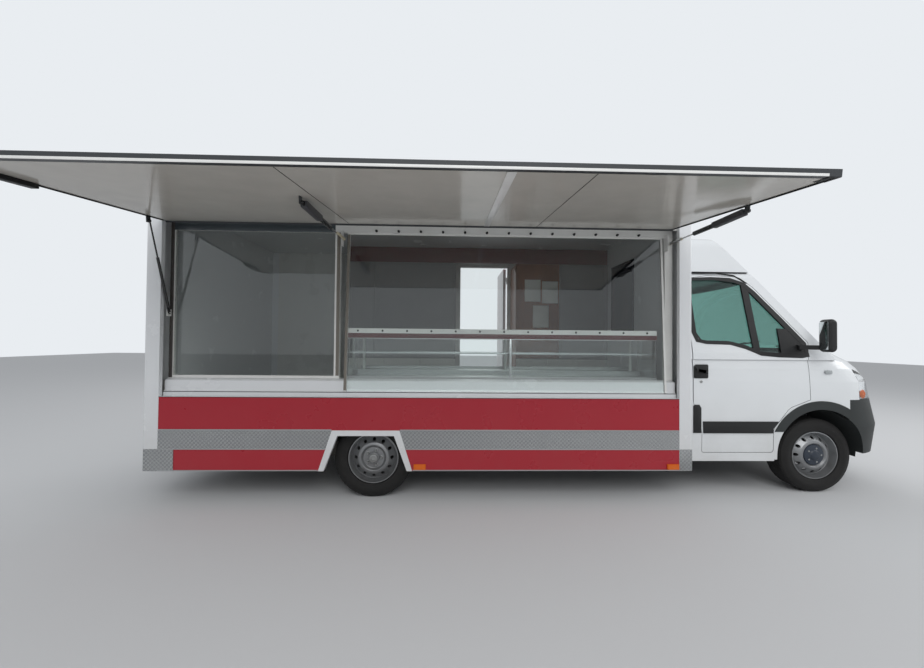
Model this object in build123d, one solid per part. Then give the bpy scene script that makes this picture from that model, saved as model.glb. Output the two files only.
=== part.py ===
from build123d import *
import os
from math import cos, radians, sin, tan

# Food truck on a front-wheel-drive van cab with a low frame and a box sales body.
# Millimetres. While it is drawn, X = 0 is the front axle and X runs forwards, Y = 0 is the
# centreline with the serving side at -Y, and Z = 0 is the ground. place() then moves
# everything so that the origin is the middle of the footprint.

GAP = 0.3          # running gap of hinge beads, hubs and seats
SHUT_GAP = 8       # gap round doors, flap and bonnet

# Wheels
WHEELBASE = 4078
TYRE_RADIUS = 340
TYRE_WIDTH = 220
RIM_RADIUS = 219
RIM_WIDTH = 178
HUB_RADIUS = 62
STUB_RADIUS = 24
DISC_INSET = 26           # disc's mounting face behind the rim's outer edge
BRAKE_DEPTH = 76          # from that face to the back of the brake
FRONT_TYRE_FACE = 945     # outer side of the front tyre, from the centreline
REAR_TYRE_FACE = 1031
KINGPIN_Y = 760

# Box body
BODY_REAR = -5985
BODY_FRONT = -1292
BODY_HALF = 1120
SKIRT_Z = 264
ROOF_Z = 2640
WALL = 40
FLOOR_Z = 470
FLOOR_THICK = 40
LOWER_WALL_TOP = 885
BAND_Z = (450, 607)       # tread plate band along the lower wall
POST = 126                # corner post, each way
POST_FRONT = 113          # front corner post along X
POST_ROUND = 16
ROOF_CHAMFER = 10
PLATE = 3

# Sales flap, open at rest
FLAP_FRONT = -1444
FLAP_LENGTH = 1480
FLAP_THICK = 38
FLAP_TILT = 5.96          # degrees that the open flap droops outwards
HINGE_Y = -1082
HINGE_Z = 2380
BEAD_RADIUS = 6

# Glazing of the sales side
FRAME_Y = (-1010, -970)
GLASS = 6
MULLION_X = (-4436, -4390)
RAIL_Z = (2330, 2364)     # hook rail over the windows
SILL_TOP = 1036
SERVING_X = (-4308, -1508)
DISPLAY_X = (-4330, -1520)
DISPLAY_Y = (-955, -430)
TRAY_Z = 1046
CANOPY_Z = (1398, 1440)

# Far side
UNIT_Y = 614
UNIT_TOP = 2398
DOORWAY_X = (-3275, -2602)
DOORWAY_TOP = 2430
LEAF = 40                 # entry door thickness
DOOR_AXIS = (DOORWAY_X[1] + 4, BODY_HALF + 14)
LEAF_SINK = 2             # closed leaf behind the body side

# Rear wheel opening in the skirt, a trapezoid
ARCH_MIDDLE_X = -4124     # a little behind the axle
ARCH_HALF_TOP = 240
ARCH_HALF_BOTTOM = 352
ARCH_TOP = 562
ARCH_FRAME = 46
WHEEL_BOX_TOP = 760
WHEEL_BOX_INNER = 770

# Cab
CAB_HALF = 995
CAB_BOTTOM = 320
BELT_Z = 1290
CAB_ROOF = 2060
SKIN = 60                 # door and wall thickness below the belt line
PILLAR = 36               # thickness of the frames above it
ARCH_RADIUS = 415
ARCH_CENTRE_Z = 363
ARCH_TRIM = 78
ARCH_INNER_Y = 530
LINER = 8
SCREEN_BASE_X = 301       # windscreen foot on the centreline, at BELT_Z
SCREEN_SLOPE = 0.9145     # how far the windscreen goes back for each millimetre up
SCREEN_LEAN = (1 + SCREEN_SLOPE ** 2) ** 0.5
SCREEN_RADIUS = 2400      # its curve in plan
SCREEN_REACH = 1000       # half width over which that curve is drawn
SCREEN_DEPTH = 60         # how far below the belt line its surface starts
BONNET_HALF = 800
COWL = 34                 # black cowl between the windscreen foot and the bonnet
FIREWALL_X = 20
PANEL = 30                # firewall, cab floor and back wall
CAB_FLOOR_Z = (455, 485)
ENGINE_Z = (370, 1000)
LEDGE = 14                # flange that a shut door or bonnet lies on
LEDGE_WIDTH = 26
BUMPER_BOTTOM = 370
BUMPER_REAR = 265         # its seam over the wheel arch
LAMP_BOTTOM = 868
FAIRING_TOP = 2408

FRONT_MOST = 838

nodes = {}


def block(x, y, z):
    """Box between two limits on each axis."""
    size = [max(pair) - min(pair) for pair in (x, y, z)]
    middle = [(pair[0] + pair[1]) / 2 for pair in (x, y, z)]
    return Pos(*middle) * Box(*size)


def outline(corners):
    """Closed face through corners given as (u, v, corner radius)."""
    count = len(corners)
    stretches = []
    for index, (u, v, radius) in enumerate(corners):
        here = Vector(u, v)
        before = Vector(*corners[index - 1][:2])
        after = Vector(*corners[(index + 1) % count][:2])
        back = (before - here).normalized()
        ahead = (after - here).normalized()
        if radius:
            half = radians(back.get_angle(ahead)) / 2
            reach = radius / tan(half)
            inner = here + (back + ahead).normalized() * (radius / sin(half) - radius)
            stretches.append((here + back * reach, inner, here + ahead * reach))
        else:
            stretches.append((here, None, here))
    edges = []
    for index, (start, inner, end) in enumerate(stretches):
        if inner is not None:
            edges.append(ThreePointArc(start, inner, end))
        edges.append(Line(end, stretches[(index + 1) % count][0]))
    return make_face(edges)


def side_prism(corners, y):
    """Outline in X, Z carried across the vehicle from y[0] to y[1]."""
    plane = Plane(origin=(0, max(y), 0), x_dir=(1, 0, 0), z_dir=(0, -1, 0))
    return extrude(plane * outline(corners), abs(y[1] - y[0]))


def cross_prism(corners, x):
    """Outline in Y, Z carried along the vehicle from x[0] to x[1]."""
    plane = Plane(origin=(min(x), 0, 0), x_dir=(0, 1, 0), z_dir=(1, 0, 0))
    return extrude(plane * outline(corners), abs(x[1] - x[0]))


def plan_prism(corners, z):
    """Outline in X, Y carried up from z[0] to z[1]."""
    return extrude(Plane.XY.offset(min(z)) * outline(corners), abs(z[1] - z[0]))


def rod_x(y, z, radius, x):
    """Round bar along the vehicle."""
    return Pos((x[0] + x[1]) / 2, y, z) * Rot(0, 90, 0) * Cylinder(radius, abs(x[1] - x[0]))


def rod_y(x, z, radius, y):
    """Round bar across the vehicle."""
    return Pos(x, (y[0] + y[1]) / 2, z) * Rot(90, 0, 0) * Cylinder(radius, abs(y[1] - y[0]))


def rod_z(x, y, radius, z):
    """Upright round bar."""
    return Pos(x, y, (z[0] + z[1]) / 2) * Cylinder(radius, abs(z[1] - z[0]))


def mirrored(shape):
    """The same piece on the other side of the vehicle."""
    return mirror(shape, Plane.XZ)


def fused(*shapes):
    """All the shapes joined."""
    whole = shapes[0]
    for shape in shapes[1:]:
        whole = whole + shape
    return whole


def straight(points):
    """Corners with no rounding."""
    return [(u, v, 0) for u, v in points]


# Wheels, hubs and axles

def tyre_solid(face, side):
    """Tyre with a rounded tread shoulder; face is its outer side, side is -1 or 1."""
    outer = face
    inner = face - TYRE_WIDTH
    bead = RIM_RADIUS - 12
    section = [(outer - 38, bead, 0), (outer - 38, RIM_RADIUS + 3, 0), (outer - 14, RIM_RADIUS + 8, 8),
               (outer, 285, 60), (outer - 24, TYRE_RADIUS, 24), (inner + 24, TYRE_RADIUS, 24), (inner, 285, 60),
               (inner + 14, RIM_RADIUS + 8, 8), (inner + 38, RIM_RADIUS + 3, 0), (inner + 38, bead, 0)]
    plane = Plane(origin=(0, 0, 0), x_dir=(0, side, 0), z_dir=(side, 0, 0))
    return revolve(plane * outline(section), Axis.Y)


def rim_solid(face, side):
    """Steel disc wheel: barrel, flanges, dished disc with a ring of holes, and hub."""
    outer = face - (TYRE_WIDTH - RIM_WIDTH) / 2
    inner = outer - RIM_WIDTH
    seat = RIM_RADIUS - 12 - GAP
    barrel = [(outer, RIM_RADIUS, 0), (outer - 12, RIM_RADIUS, 4), (outer - 16, seat, 4),
              (outer - 60, seat - 4, 8), (outer - 80, 170, 10), (inner + 60, 170, 10), (inner + 40, seat - 4, 8),
              (inner + 16, seat, 4), (inner + 12, RIM_RADIUS, 4), (inner, RIM_RADIUS, 0),
              (inner, RIM_RADIUS - 6, 0), (inner + 30, seat - 14, 8), (inner + 66, 162, 10),
              (outer - 86, 162, 10), (outer - 56, seat - 14, 8), (outer, RIM_RADIUS - 8, 0)]
    mount = outer - DISC_INSET
    back = mount - BRAKE_DEPTH
    disc = [(outer - 60, 192, 0), (mount + 18, 134, 14), (mount + 24, 112, 10), (mount, 92, 10),
            (mount, 46, 0), (mount - 8, 46, 0), (mount - 8, 96, 10), (mount + 15, 114, 8),
            (mount + 10, 129, 12), (outer - 70, 184, 0)]
    hub = [(mount + 24, 0, 0), (mount + 24, 26, 4), (mount + 20, HUB_RADIUS - 14, 4), (mount - 8, HUB_RADIUS - 14, 0),
           (mount - 8, HUB_RADIUS + 12, 0), (mount - 24, HUB_RADIUS + 12, 0), (mount - 24, 130, 0),
           (back, 130, 0), (back, STUB_RADIUS + GAP, 0), (mount - 18, STUB_RADIUS + GAP, 0),
           (mount - 18, 0, 0)]
    plane = Plane(origin=(0, 0, 0), x_dir=(0, side, 0), z_dir=(side, 0, 0))
    rim = revolve(plane * outline(barrel), Axis.Y) + revolve(plane * outline(disc), Axis.Y)
    holes = 12
    for index in range(holes):
        hole = rod_y(0, 158, 15, (side * (outer - 75), side * outer))
        rim = rim - Rot(0, 360 / holes * index, 0) * hole
    return rim + revolve(plane * outline(hub), Axis.Y)


WHEELS = [  # name, axle x, outer side of the tyre, side
    ("front_right", 0, FRONT_TYRE_FACE, -1),
    ("front_left", 0, FRONT_TYRE_FACE, 1),
    ("rear_right", -WHEELBASE, REAR_TYRE_FACE, -1),
    ("rear_left", -WHEELBASE, REAR_TYRE_FACE, 1),
]
for name, axle_x, face, side in WHEELS:
    at_axle = Pos(axle_x, 0, TYRE_RADIUS)
    nodes["tyre_" + name] = at_axle * tyre_solid(face, side)
    nodes["rim_" + name] = at_axle * rim_solid(face, side)


def stub_reach(face):
    """End of the stub axle inside the hub, from the centreline."""
    return face - (TYRE_WIDTH - RIM_WIDTH) / 2 - DISC_INSET - 20


def knuckle(side):
    """Front upright between its two ball seats, with the stub axle."""
    inner = KINGPIN_Y - 26
    back = FRONT_TYRE_FACE - (TYRE_WIDTH - RIM_WIDTH) / 2 - DISC_INSET - BRAKE_DEPTH - 6
    upright = block((-34, 34), (side * inner, side * back), (TYRE_RADIUS - 78, TYRE_RADIUS + 78))
    stub = rod_y(0, TYRE_RADIUS, STUB_RADIUS, (side * inner, side * stub_reach(FRONT_TYRE_FACE)))
    arm = block((-130, -30), (side * inner, side * (inner + 22)), (TYRE_RADIUS - 40, TYRE_RADIUS - 18))
    bores = rod_z(0, side * KINGPIN_Y, 14 + GAP, (TYRE_RADIUS - 90, TYRE_RADIUS - 40))
    bores = bores + rod_z(0, side * KINGPIN_Y, 14 + GAP, (TYRE_RADIUS + 40, TYRE_RADIUS + 90))
    return upright + stub + arm - bores


def front_corner(side):
    """Lower arm, strut and the two pivots that carry one front upright."""
    lower = block((-40, 40), (side * 420, side * KINGPIN_Y), (TYRE_RADIUS - 112, TYRE_RADIUS - 84))
    lower = lower + rod_z(0, side * KINGPIN_Y, 24, (TYRE_RADIUS - 112, TYRE_RADIUS - 84))
    upper = block((-32, 32), (side * 440, side * KINGPIN_Y), (TYRE_RADIUS + 84, TYRE_RADIUS + 108))
    upper = upper + rod_z(0, side * KINGPIN_Y, 24, (TYRE_RADIUS + 84, TYRE_RADIUS + 108))
    leg = block((-32, 32), (side * 440, side * 500), (TYRE_RADIUS, TYRE_RADIUS + 90))
    low_pin = rod_z(0, side * KINGPIN_Y, 14, (TYRE_RADIUS - 90, TYRE_RADIUS - 50))
    high_pin = rod_z(0, side * KINGPIN_Y, 14, (TYRE_RADIUS + 50, TYRE_RADIUS + 90))
    strut = rod_z(0, side * 642, 30, (TYRE_RADIUS + 84, ARCH_CENTRE_Z + ARCH_RADIUS - 4))
    return fused(lower, upper, leg, low_pin, high_pin, strut)


nodes["knuckle_right"] = knuckle(-1)
nodes["knuckle_left"] = knuckle(1)

RAIL_Y = (560, 620)
RAIL_FRAME_Z = (250, FLOOR_Z - FLOOR_THICK)
FRAME_X = (BODY_REAR + 120, -ARCH_RADIUS - LINER - 12)
cross_members = [FRAME_X[0] + 30, -5000, -3560, -2500, -1500]

rails = [block(FRAME_X, (side * RAIL_Y[0], side * RAIL_Y[1]), RAIL_FRAME_Z) for side in (-1, 1)]
members = [block((x, x + 60), (-RAIL_Y[0] - 5, RAIL_Y[0] + 5), (280, 400)) for x in cross_members]
nodes["frame_rails"] = fused(*rails, *members)

front_cross = block((-240, 300), (-440, 440), (TYRE_RADIUS - 112, TYRE_RADIUS - 60))
front_long = [block((FRAME_X[1] - 90, 620), (side * 440, side * 500), (280, 360)) for side in (-1, 1)]
tie = [block((FRAME_X[1] - 90, FRAME_X[1]), (side * 480, side * RAIL_Y[0]), (280, 360)) for side in (-1, 1)]
engine_feet = [block((260, 340), (side * 300, side * 450), (330, ENGINE_Z[0])) for side in (-1, 1)]
nodes["front_subframe"] = fused(front_cross, *front_long, *tie, *engine_feet, front_corner(-1), front_corner(1))

TORSION_X = -WHEELBASE + 210
REAR_STUB = stub_reach(REAR_TYRE_FACE)
axle = rod_y(TORSION_X, 300, 58, (-RAIL_Y[1] - 90, RAIL_Y[1] + 90))
for side in (-1, 1):
    arm = side_prism([(TORSION_X + 60, 250, 30), (TORSION_X + 60, 350, 30), (-WHEELBASE - 50, TYRE_RADIUS + 50, 40),
                      (-WHEELBASE - 50, TYRE_RADIUS - 50, 40)], (side * 700, side * 760))
    stub = rod_y(-WHEELBASE, TYRE_RADIUS, STUB_RADIUS, (side * 740, side * REAR_STUB))
    axle = fused(axle, arm, stub)
nodes["rear_axle"] = axle - fused(*rails)


# Box body

SIDE_X = (BODY_REAR + POST, BODY_FRONT - POST_FRONT)     # between the corner posts
FLAP_X = (SIDE_X[0] + 6, FLAP_FRONT)
INNER_HALF = BODY_HALF - WALL
ROOM_Z = (FLOOR_Z, ROOF_Z - WALL)


def arch_corners(grow, low):
    """Trapezoid of the rear wheel opening, wider all round by grow."""
    top = ARCH_HALF_TOP + grow
    bottom = ARCH_HALF_BOTTOM + grow
    return straight([(ARCH_MIDDLE_X - bottom, low), (ARCH_MIDDLE_X - top, ARCH_TOP + grow),
                     (ARCH_MIDDLE_X + top, ARCH_TOP + grow), (ARCH_MIDDLE_X + bottom, low)])


def lower_wall(side):
    """Skirt and lower wall of one side, with its wheel opening."""
    wall = block(SIDE_X, (side * INNER_HALF, side * (BODY_HALF - PLATE)), (SKIRT_Z, LOWER_WALL_TOP))
    return wall - side_prism(arch_corners(ARCH_FRAME, SKIRT_Z), (side * 1000, side * 1200))


right_wall = lower_wall(-1)
left_full = block(SIDE_X, (INNER_HALF, BODY_HALF - PLATE), (SKIRT_Z, ROOF_Z - WALL))
left_full = left_full - side_prism(arch_corners(ARCH_FRAME, SKIRT_Z), (1000, 1200))
doorway = block((DOORWAY_X[0] - 2, DOORWAY_X[1] + 2), (1000, 1200), (FLOOR_Z, DOORWAY_TOP))
left_full = left_full - doorway
nodes["side_wall_left"] = left_full
HEADER_BOTTOM = HINGE_Z + FLAP_THICK + 6
header = block(SIDE_X, (-BODY_HALF, -INNER_HALF), (HEADER_BOTTOM, ROOF_Z - WALL))
nodes["side_wall_right"] = fused(right_wall, header)

# Skins over the walls: tread plate band and rear corners, red panels between the bands
band = [block(SIDE_X, (side * (BODY_HALF - PLATE), side * BODY_HALF), BAND_Z)
        - side_prism(arch_corners(ARCH_FRAME, SKIRT_Z), (side * 1000, side * 1200)) - doorway for side in (-1, 1)]
CORNER_PLATE_X = BODY_REAR + 256


def post_outline(x_outer, x_inner, side):
    """Corner post in plan with its outer corner rounded."""
    return [(x_outer, side * BODY_HALF, POST_ROUND), (x_inner, side * BODY_HALF, 0),
            (x_inner, side * (BODY_HALF - POST), 0), (x_outer, side * (BODY_HALF - POST), 0)]


rear_plates = []
for side in (-1, 1):
    shell = plan_prism(post_outline(BODY_REAR, CORNER_PLATE_X, side), (SKIRT_Z, BAND_Z[0] - 1))
    core = plan_prism([(BODY_REAR + PLATE, side * (BODY_HALF - PLATE), POST_ROUND - PLATE),
                       (CORNER_PLATE_X + 1, side * (BODY_HALF - PLATE), 0),
                       (CORNER_PLATE_X + 1, side * (BODY_HALF - POST - 1), 0),
                       (BODY_REAR + PLATE, side * (BODY_HALF - POST - 1), 0)], (SKIRT_Z - 1, BAND_Z[0]))
    rear_plates.append(shell - core)
nodes["tread_plates"] = fused(*band, *rear_plates)

posts = []
for side in (-1, 1):
    rear_post = plan_prism(post_outline(BODY_REAR, BODY_REAR + POST, side), (SKIRT_Z, ROOF_Z - WALL))
    rear_hollow = block((BODY_REAR + WALL, BODY_REAR + POST + 1), (side * 900, side * INNER_HALF),
                        (SKIRT_Z - 1, ROOF_Z))
    front_post = plan_prism(post_outline(BODY_FRONT, SIDE_X[1], side), (SKIRT_Z, ROOF_Z - WALL))
    front_hollow = block((SIDE_X[1] - 1, BODY_FRONT - WALL), (side * 900, side * INNER_HALF),
                         (SKIRT_Z - 1, ROOF_Z))
    post_pair = [rear_post - rear_hollow, front_post - front_hollow]
    posts.append(post_pair[0] - rear_plates[0] - rear_plates[1])
    posts.append(post_pair[1])
nodes["corner_posts"] = fused(*posts)

END_HALF = BODY_HALF - POST
rear_wall = block((BODY_REAR, BODY_REAR + WALL), (-END_HALF, END_HALF), (SKIRT_Z, ROOF_Z - WALL))
front_wall = block((BODY_FRONT - WALL, BODY_FRONT), (-END_HALF, END_HALF), (SKIRT_Z + 60, ROOF_Z - WALL))
tunnel = block((BODY_FRONT - WALL - 1, BODY_FRONT + 1), (-RAIL_Y[1] - 5, RAIL_Y[1] + 5), (SKIRT_Z, FLOOR_Z - FLOOR_THICK))
nodes["end_walls"] = (rear_wall + front_wall) - tunnel

roof = plan_prism([(BODY_REAR, -BODY_HALF, POST_ROUND), (BODY_FRONT, -BODY_HALF, POST_ROUND),
                   (BODY_FRONT, BODY_HALF, POST_ROUND), (BODY_REAR, BODY_HALF, POST_ROUND)], (ROOF_Z - WALL, ROOF_Z))
nodes["roof_panel"] = chamfer(roof.faces().sort_by(Axis.Z)[-1].edges(), ROOF_CHAMFER)

box_x = (-WHEELBASE - ARCH_HALF_BOTTOM - ARCH_FRAME, -WHEELBASE + ARCH_HALF_BOTTOM + ARCH_FRAME)
floor = block((BODY_REAR + WALL, BODY_FRONT - WALL), (-INNER_HALF, INNER_HALF), (FLOOR_Z - FLOOR_THICK, FLOOR_Z))
for side in (-1, 1):
    outer_box = block(box_x, (side * WHEEL_BOX_INNER, side * INNER_HALF), (FLOOR_Z - FLOOR_THICK, WHEEL_BOX_TOP))
    inner_box = block((box_x[0] + 18, box_x[1] - 18), (side * (WHEEL_BOX_INNER + 18), side * (INNER_HALF + 1)),
                      (FLOOR_Z - FLOOR_THICK - 1, WHEEL_BOX_TOP - 18))
    floor = floor + outer_box - inner_box
nodes["body_floor"] = floor

frames = []
for side in (-1, 1):
    ring = side_prism(arch_corners(ARCH_FRAME, SKIRT_Z), (side * INNER_HALF, side * (BODY_HALF + 6)))
    frames.append(ring - side_prism(arch_corners(0, SKIRT_Z), (side * 1000, side * 1200)))
nodes["arch_frames"] = fused(*frames)

bumper = block((BODY_REAR - 42, BODY_REAR - 12), (-1000, 1000), (360, 450))
for y in (-RAIL_Y[1], RAIL_Y[0]):
    bumper = bumper + block((BODY_REAR - 20, BODY_REAR), (y, y + 60), (370, 430))
nodes["rear_bumper"] = bumper
lamps = [rod_x(side * y, 590, 48, (BODY_REAR - 30, BODY_REAR)) for side in (-1, 1) for y in (760, 870, 980 - POST + 100)]
nodes["rear_lamps"] = fused(*lamps)

# Serving side: sill, window frame, glazing

sill = [(-BODY_HALF + 2, LOWER_WALL_TOP), (-BODY_HALF + 2, LOWER_WALL_TOP + 5), (-1070, LOWER_WALL_TOP + 5),
        (-1070, 926), (-1056, 932), (-1050, 947), (-1050, 1019), (-1042, 1025), (-1000, SILL_TOP),
        (-970, SILL_TOP), (-970, LOWER_WALL_TOP)]
nodes["sales_sill"] = cross_prism(straight(sill), SIDE_X)

STILE = 32
bars = [
    block(SIDE_X, FRAME_Y, RAIL_Z),
    block(SIDE_X, (FRAME_Y[0], -960), (RAIL_Z[1], 2440)),
    block(SIDE_X, (HINGE_Y + 8, -960), (2404, 2440)),
    block((SIDE_X[0], SIDE_X[0] + STILE), FRAME_Y, (SILL_TOP, RAIL_Z[1])),
    block((FLAP_FRONT - STILE, SIDE_X[1]), FRAME_Y, (SILL_TOP, RAIL_Z[1])),
    block(MULLION_X, FRAME_Y, (SILL_TOP, RAIL_Z[1])),
    block((SIDE_X[0], MULLION_X[1]), FRAME_Y, (SILL_TOP, SILL_TOP + 24)),
    block(SIDE_X, (HINGE_Y + 3, HINGE_Y + 10), (HINGE_Z - 2, 2440)),
    block(SIDE_X, (HINGE_Y, HINGE_Y + 5), (HINGE_Z - 2, HINGE_Z + 2)),
    rod_x(HINGE_Y, HINGE_Z, BEAD_RADIUS, FLAP_X),
]
rear_pane = block((SIDE_X[0] + STILE, MULLION_X[0]), (-993, -993 + GLASS), (SILL_TOP + 24, RAIL_Z[0]))

PANE_TOP = (-990, 2318)        # outer face of the leaning serving pane, y and z
PANE_FOOT = (-1066, 935)
pane = [PANE_FOOT, (PANE_FOOT[0] + GLASS, PANE_FOOT[1]), (PANE_TOP[0] + GLASS, PANE_TOP[1]), PANE_TOP]
nodes["hatch_glass"] = fused(rear_pane, cross_prism(straight(pane), SERVING_X))
PANE_EDGE = 24
edge = [(PANE_FOOT[0] - 6, PANE_FOOT[1] - 2), (PANE_FOOT[0] + GLASS + 4, PANE_FOOT[1] - 2),
        (PANE_TOP[0] + GLASS + 4, PANE_TOP[1]), (PANE_TOP[0] + 14, RAIL_Z[0]), (PANE_TOP[0] - 6, RAIL_Z[0])]
edges = [cross_prism(straight(edge), x) for x in
         ((SERVING_X[0] - PANE_EDGE, SERVING_X[0]), (SERVING_X[1], SERVING_X[1] + PANE_EDGE - 6))]
head = block((SERVING_X[0] - PANE_EDGE, SERVING_X[1] + PANE_EDGE - 6), (PANE_TOP[0] - 6, PANE_TOP[0] + GLASS + 6),
             (PANE_TOP[1], RAIL_Z[0]))
nodes["hatch_frame"] = fused(*bars, *edges, head)

# Display counter

room = block((DISPLAY_X[0] + 20, DISPLAY_X[1] - 20), (DISPLAY_Y[0] + 20, DISPLAY_Y[1] - 20), (FLOOR_Z - 1, TRAY_Z - 40))
base = block(DISPLAY_X, DISPLAY_Y, (FLOOR_Z, TRAY_Z - 16)) - room
side_bench = block((BODY_REAR + WALL + 6, DISPLAY_X[0] - 6), (-960, DISPLAY_Y[1]), (FLOOR_Z, TRAY_Z - 40))
bench_room = block((BODY_REAR + WALL + 26, DISPLAY_X[0] - 26), (-940, DISPLAY_Y[1] - 20), (FLOOR_Z - 1, TRAY_Z - 80))
wheel_notch = block((box_x[0] - 2, box_x[1] + 2), (-INNER_HALF, -WHEEL_BOX_INNER + 2), (FLOOR_Z - 1, WHEEL_BOX_TOP + 2))
nodes["counter_base"] = (base + (side_bench - bench_room)) - wheel_notch
tray = block(DISPLAY_X, DISPLAY_Y, (TRAY_Z - 16, TRAY_Z + 4))
upstand = block(DISPLAY_X, (DISPLAY_Y[1] - 16, DISPLAY_Y[1]), (TRAY_Z, TRAY_Z + 70))
step = block((DISPLAY_X[0] + 30, DISPLAY_X[1] - 30), (-700, DISPLAY_Y[1] - 16), (TRAY_Z, TRAY_Z + 44))
nodes["display_tray"] = fused(tray, upstand, step)
canopy = block(DISPLAY_X, (DISPLAY_Y[0], -520), (CANOPY_Z[1] - 10, CANOPY_Z[1]))
fascia = block(DISPLAY_X, (DISPLAY_Y[0], DISPLAY_Y[0] + 12), CANOPY_Z)
DISPLAY_MIDDLE = -2858
legs = [rod_z(x, -560, 14, (TRAY_Z + 44, CANOPY_Z[1] - 5))
        for x in (DISPLAY_X[0] + 60, DISPLAY_MIDDLE, DISPLAY_X[1] - 60)]
nodes["display_canopy"] = fused(canopy, fascia, *legs)
fronts = [block(x, (DISPLAY_Y[0], DISPLAY_Y[0] + GLASS), (TRAY_Z + 4, CANOPY_Z[0]))
          for x in ((DISPLAY_X[0], DISPLAY_MIDDLE - 2), (DISPLAY_MIDDLE + 2, DISPLAY_X[1]))]
ends = [cross_prism(straight([(DISPLAY_Y[0] + GLASS, TRAY_Z + 4), (-600, TRAY_Z + 4), (-600, CANOPY_Z[1] - 10),
                              (DISPLAY_Y[0] + 12, CANOPY_Z[1] - 10), (DISPLAY_Y[0] + 12, CANOPY_Z[0]),
                              (DISPLAY_Y[0] + GLASS, CANOPY_Z[0])]), x)
        for x in ((DISPLAY_X[0], DISPLAY_X[0] + GLASS), (DISPLAY_X[1] - GLASS, DISPLAY_X[1]))]
shelf = block((DISPLAY_X[0] + GLASS, DISPLAY_X[1] - GLASS), (-900, -660), (1262, 1270))
nodes["display_glass"] = fused(*fronts, *ends, shelf)
nodes["display_rail"] = block(DISPLAY_X, (DISPLAY_Y[0] - 2, DISPLAY_Y[0] + 16), (CANOPY_Z[1], CANOPY_Z[1] + 44))

# Cupboards along the far wall and the band above them
UNITS = [  # x from, x to
    (-4740, -3345),
    (-2550, BODY_FRONT - WALL),
]
units = []
for start, end in UNITS:
    carcass = block((start, end), (UNIT_Y, INNER_HALF), (FLOOR_Z, UNIT_TOP))
    units.append(carcass - block((start + 20, end - 20), (UNIT_Y + 20, INNER_HALF + 1), (FLOOR_Z - 1, UNIT_TOP - 20)))
pelmet = block((UNITS[0][0], BODY_FRONT - WALL), (UNIT_Y, UNIT_Y + 20), (UNIT_TOP, ROOM_Z[1]))
unit_set = fused(*units, pelmet)
nodes["wall_units"] = unit_set - block((box_x[0] - 2, box_x[1] + 2), (WHEEL_BOX_INNER - 2, INNER_HALF),
                                       (FLOOR_Z - 1, WHEEL_BOX_TOP + 2))

# Entry door, standing open at a right angle
leaf_length = DOORWAY_X[1] - DOORWAY_X[0] - SHUT_GAP
leaf_face = DOOR_AXIS[0] - (DOOR_AXIS[1] - BODY_HALF + LEAF_SINK)
leaf = block((leaf_face - LEAF, leaf_face), (DOOR_AXIS[1] + SHUT_GAP, DOOR_AXIS[1] + SHUT_GAP + leaf_length),
             (FLOOR_Z + SHUT_GAP, DOORWAY_TOP - SHUT_GAP))
HINGE_RADIUS = 11
HINGE_PIN = 5
HINGE_HEIGHT = 46
hinge_leaves = []
hinge_pins = []
for z in (700, 1500, 2250):
    sleeve = rod_z(*DOOR_AXIS, HINGE_RADIUS, (z, z + HINGE_HEIGHT))
    flag = block((leaf_face - 1, DOOR_AXIS[0] - HINGE_PIN), (DOOR_AXIS[1] + 4, DOOR_AXIS[1] + 60), (z, z + HINGE_HEIGHT))
    hinge_leaves.append((sleeve + flag) - rod_z(*DOOR_AXIS, HINGE_PIN + GAP, (z - 1, z + HINGE_HEIGHT + 1)))
    lower = (z - HINGE_HEIGHT, z - 1)
    pin = rod_z(*DOOR_AXIS, HINGE_PIN, (lower[0], z + HINGE_HEIGHT)) + rod_z(*DOOR_AXIS, HINGE_RADIUS, lower)
    wall_leaf = block((DOOR_AXIS[0] + 4, DOOR_AXIS[0] + 60), (BODY_HALF - PLATE, BODY_HALF + 4), lower)
    bridge = block((DOOR_AXIS[0], DOOR_AXIS[0] + 16), (BODY_HALF - PLATE, DOOR_AXIS[1]), lower)
    hinge_pins.append(fused(pin, wall_leaf, bridge))
nodes["entry_door"] = fused(leaf, *hinge_leaves)
nodes["side_wall_left"] = fused(nodes["side_wall_left"], *hinge_pins) - band[1]


# Sales flap and its struts

def open_flap(shape):
    """Turn a piece drawn with the flap level down to the droop of the open flap."""
    return shape.rotate(Axis((0, HINGE_Y, HINGE_Z), (1, 0, 0)), FLAP_TILT)


def flap_point(reach, below):
    """Y, Z of a point on the open flap: reach from the hinge, below its underside."""
    tilt = radians(FLAP_TILT)
    return (HINGE_Y - reach * cos(tilt) + below * sin(tilt), HINGE_Z - reach * sin(tilt) - below * cos(tilt))


FLAP_EDGE = 34
flap_top = HINGE_Z + FLAP_THICK
panel = block((FLAP_X[0] + FLAP_EDGE, FLAP_X[1] - FLAP_EDGE), (HINGE_Y - FLAP_LENGTH + FLAP_EDGE, HINGE_Y - 40),
              (HINGE_Z, flap_top))
nodes["flap_panel"] = open_flap(panel)
rim_outer = block(FLAP_X, (HINGE_Y - FLAP_LENGTH, HINGE_Y - 12), (HINGE_Z, flap_top))
rim_inner = block((FLAP_X[0] + FLAP_EDGE, FLAP_X[1] - FLAP_EDGE), (HINGE_Y - FLAP_LENGTH + FLAP_EDGE, HINGE_Y - 40),
                  (HINGE_Z - 1, flap_top + 1))
cup = rod_x(HINGE_Y, HINGE_Z, BEAD_RADIUS + 4, FLAP_X) - rod_x(HINGE_Y, HINGE_Z, BEAD_RADIUS + GAP, FLAP_X)
cup = cup & block(FLAP_X, (HINGE_Y - 30, HINGE_Y - 3.5), (HINGE_Z - 30, HINGE_Z + 30))
cup_web = block(FLAP_X, (HINGE_Y - 13, HINGE_Y - BEAD_RADIUS - 2), (HINGE_Z, HINGE_Z + 6))
flap_frame = fused(rim_outer - rim_inner, cup, cup_web)

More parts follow.
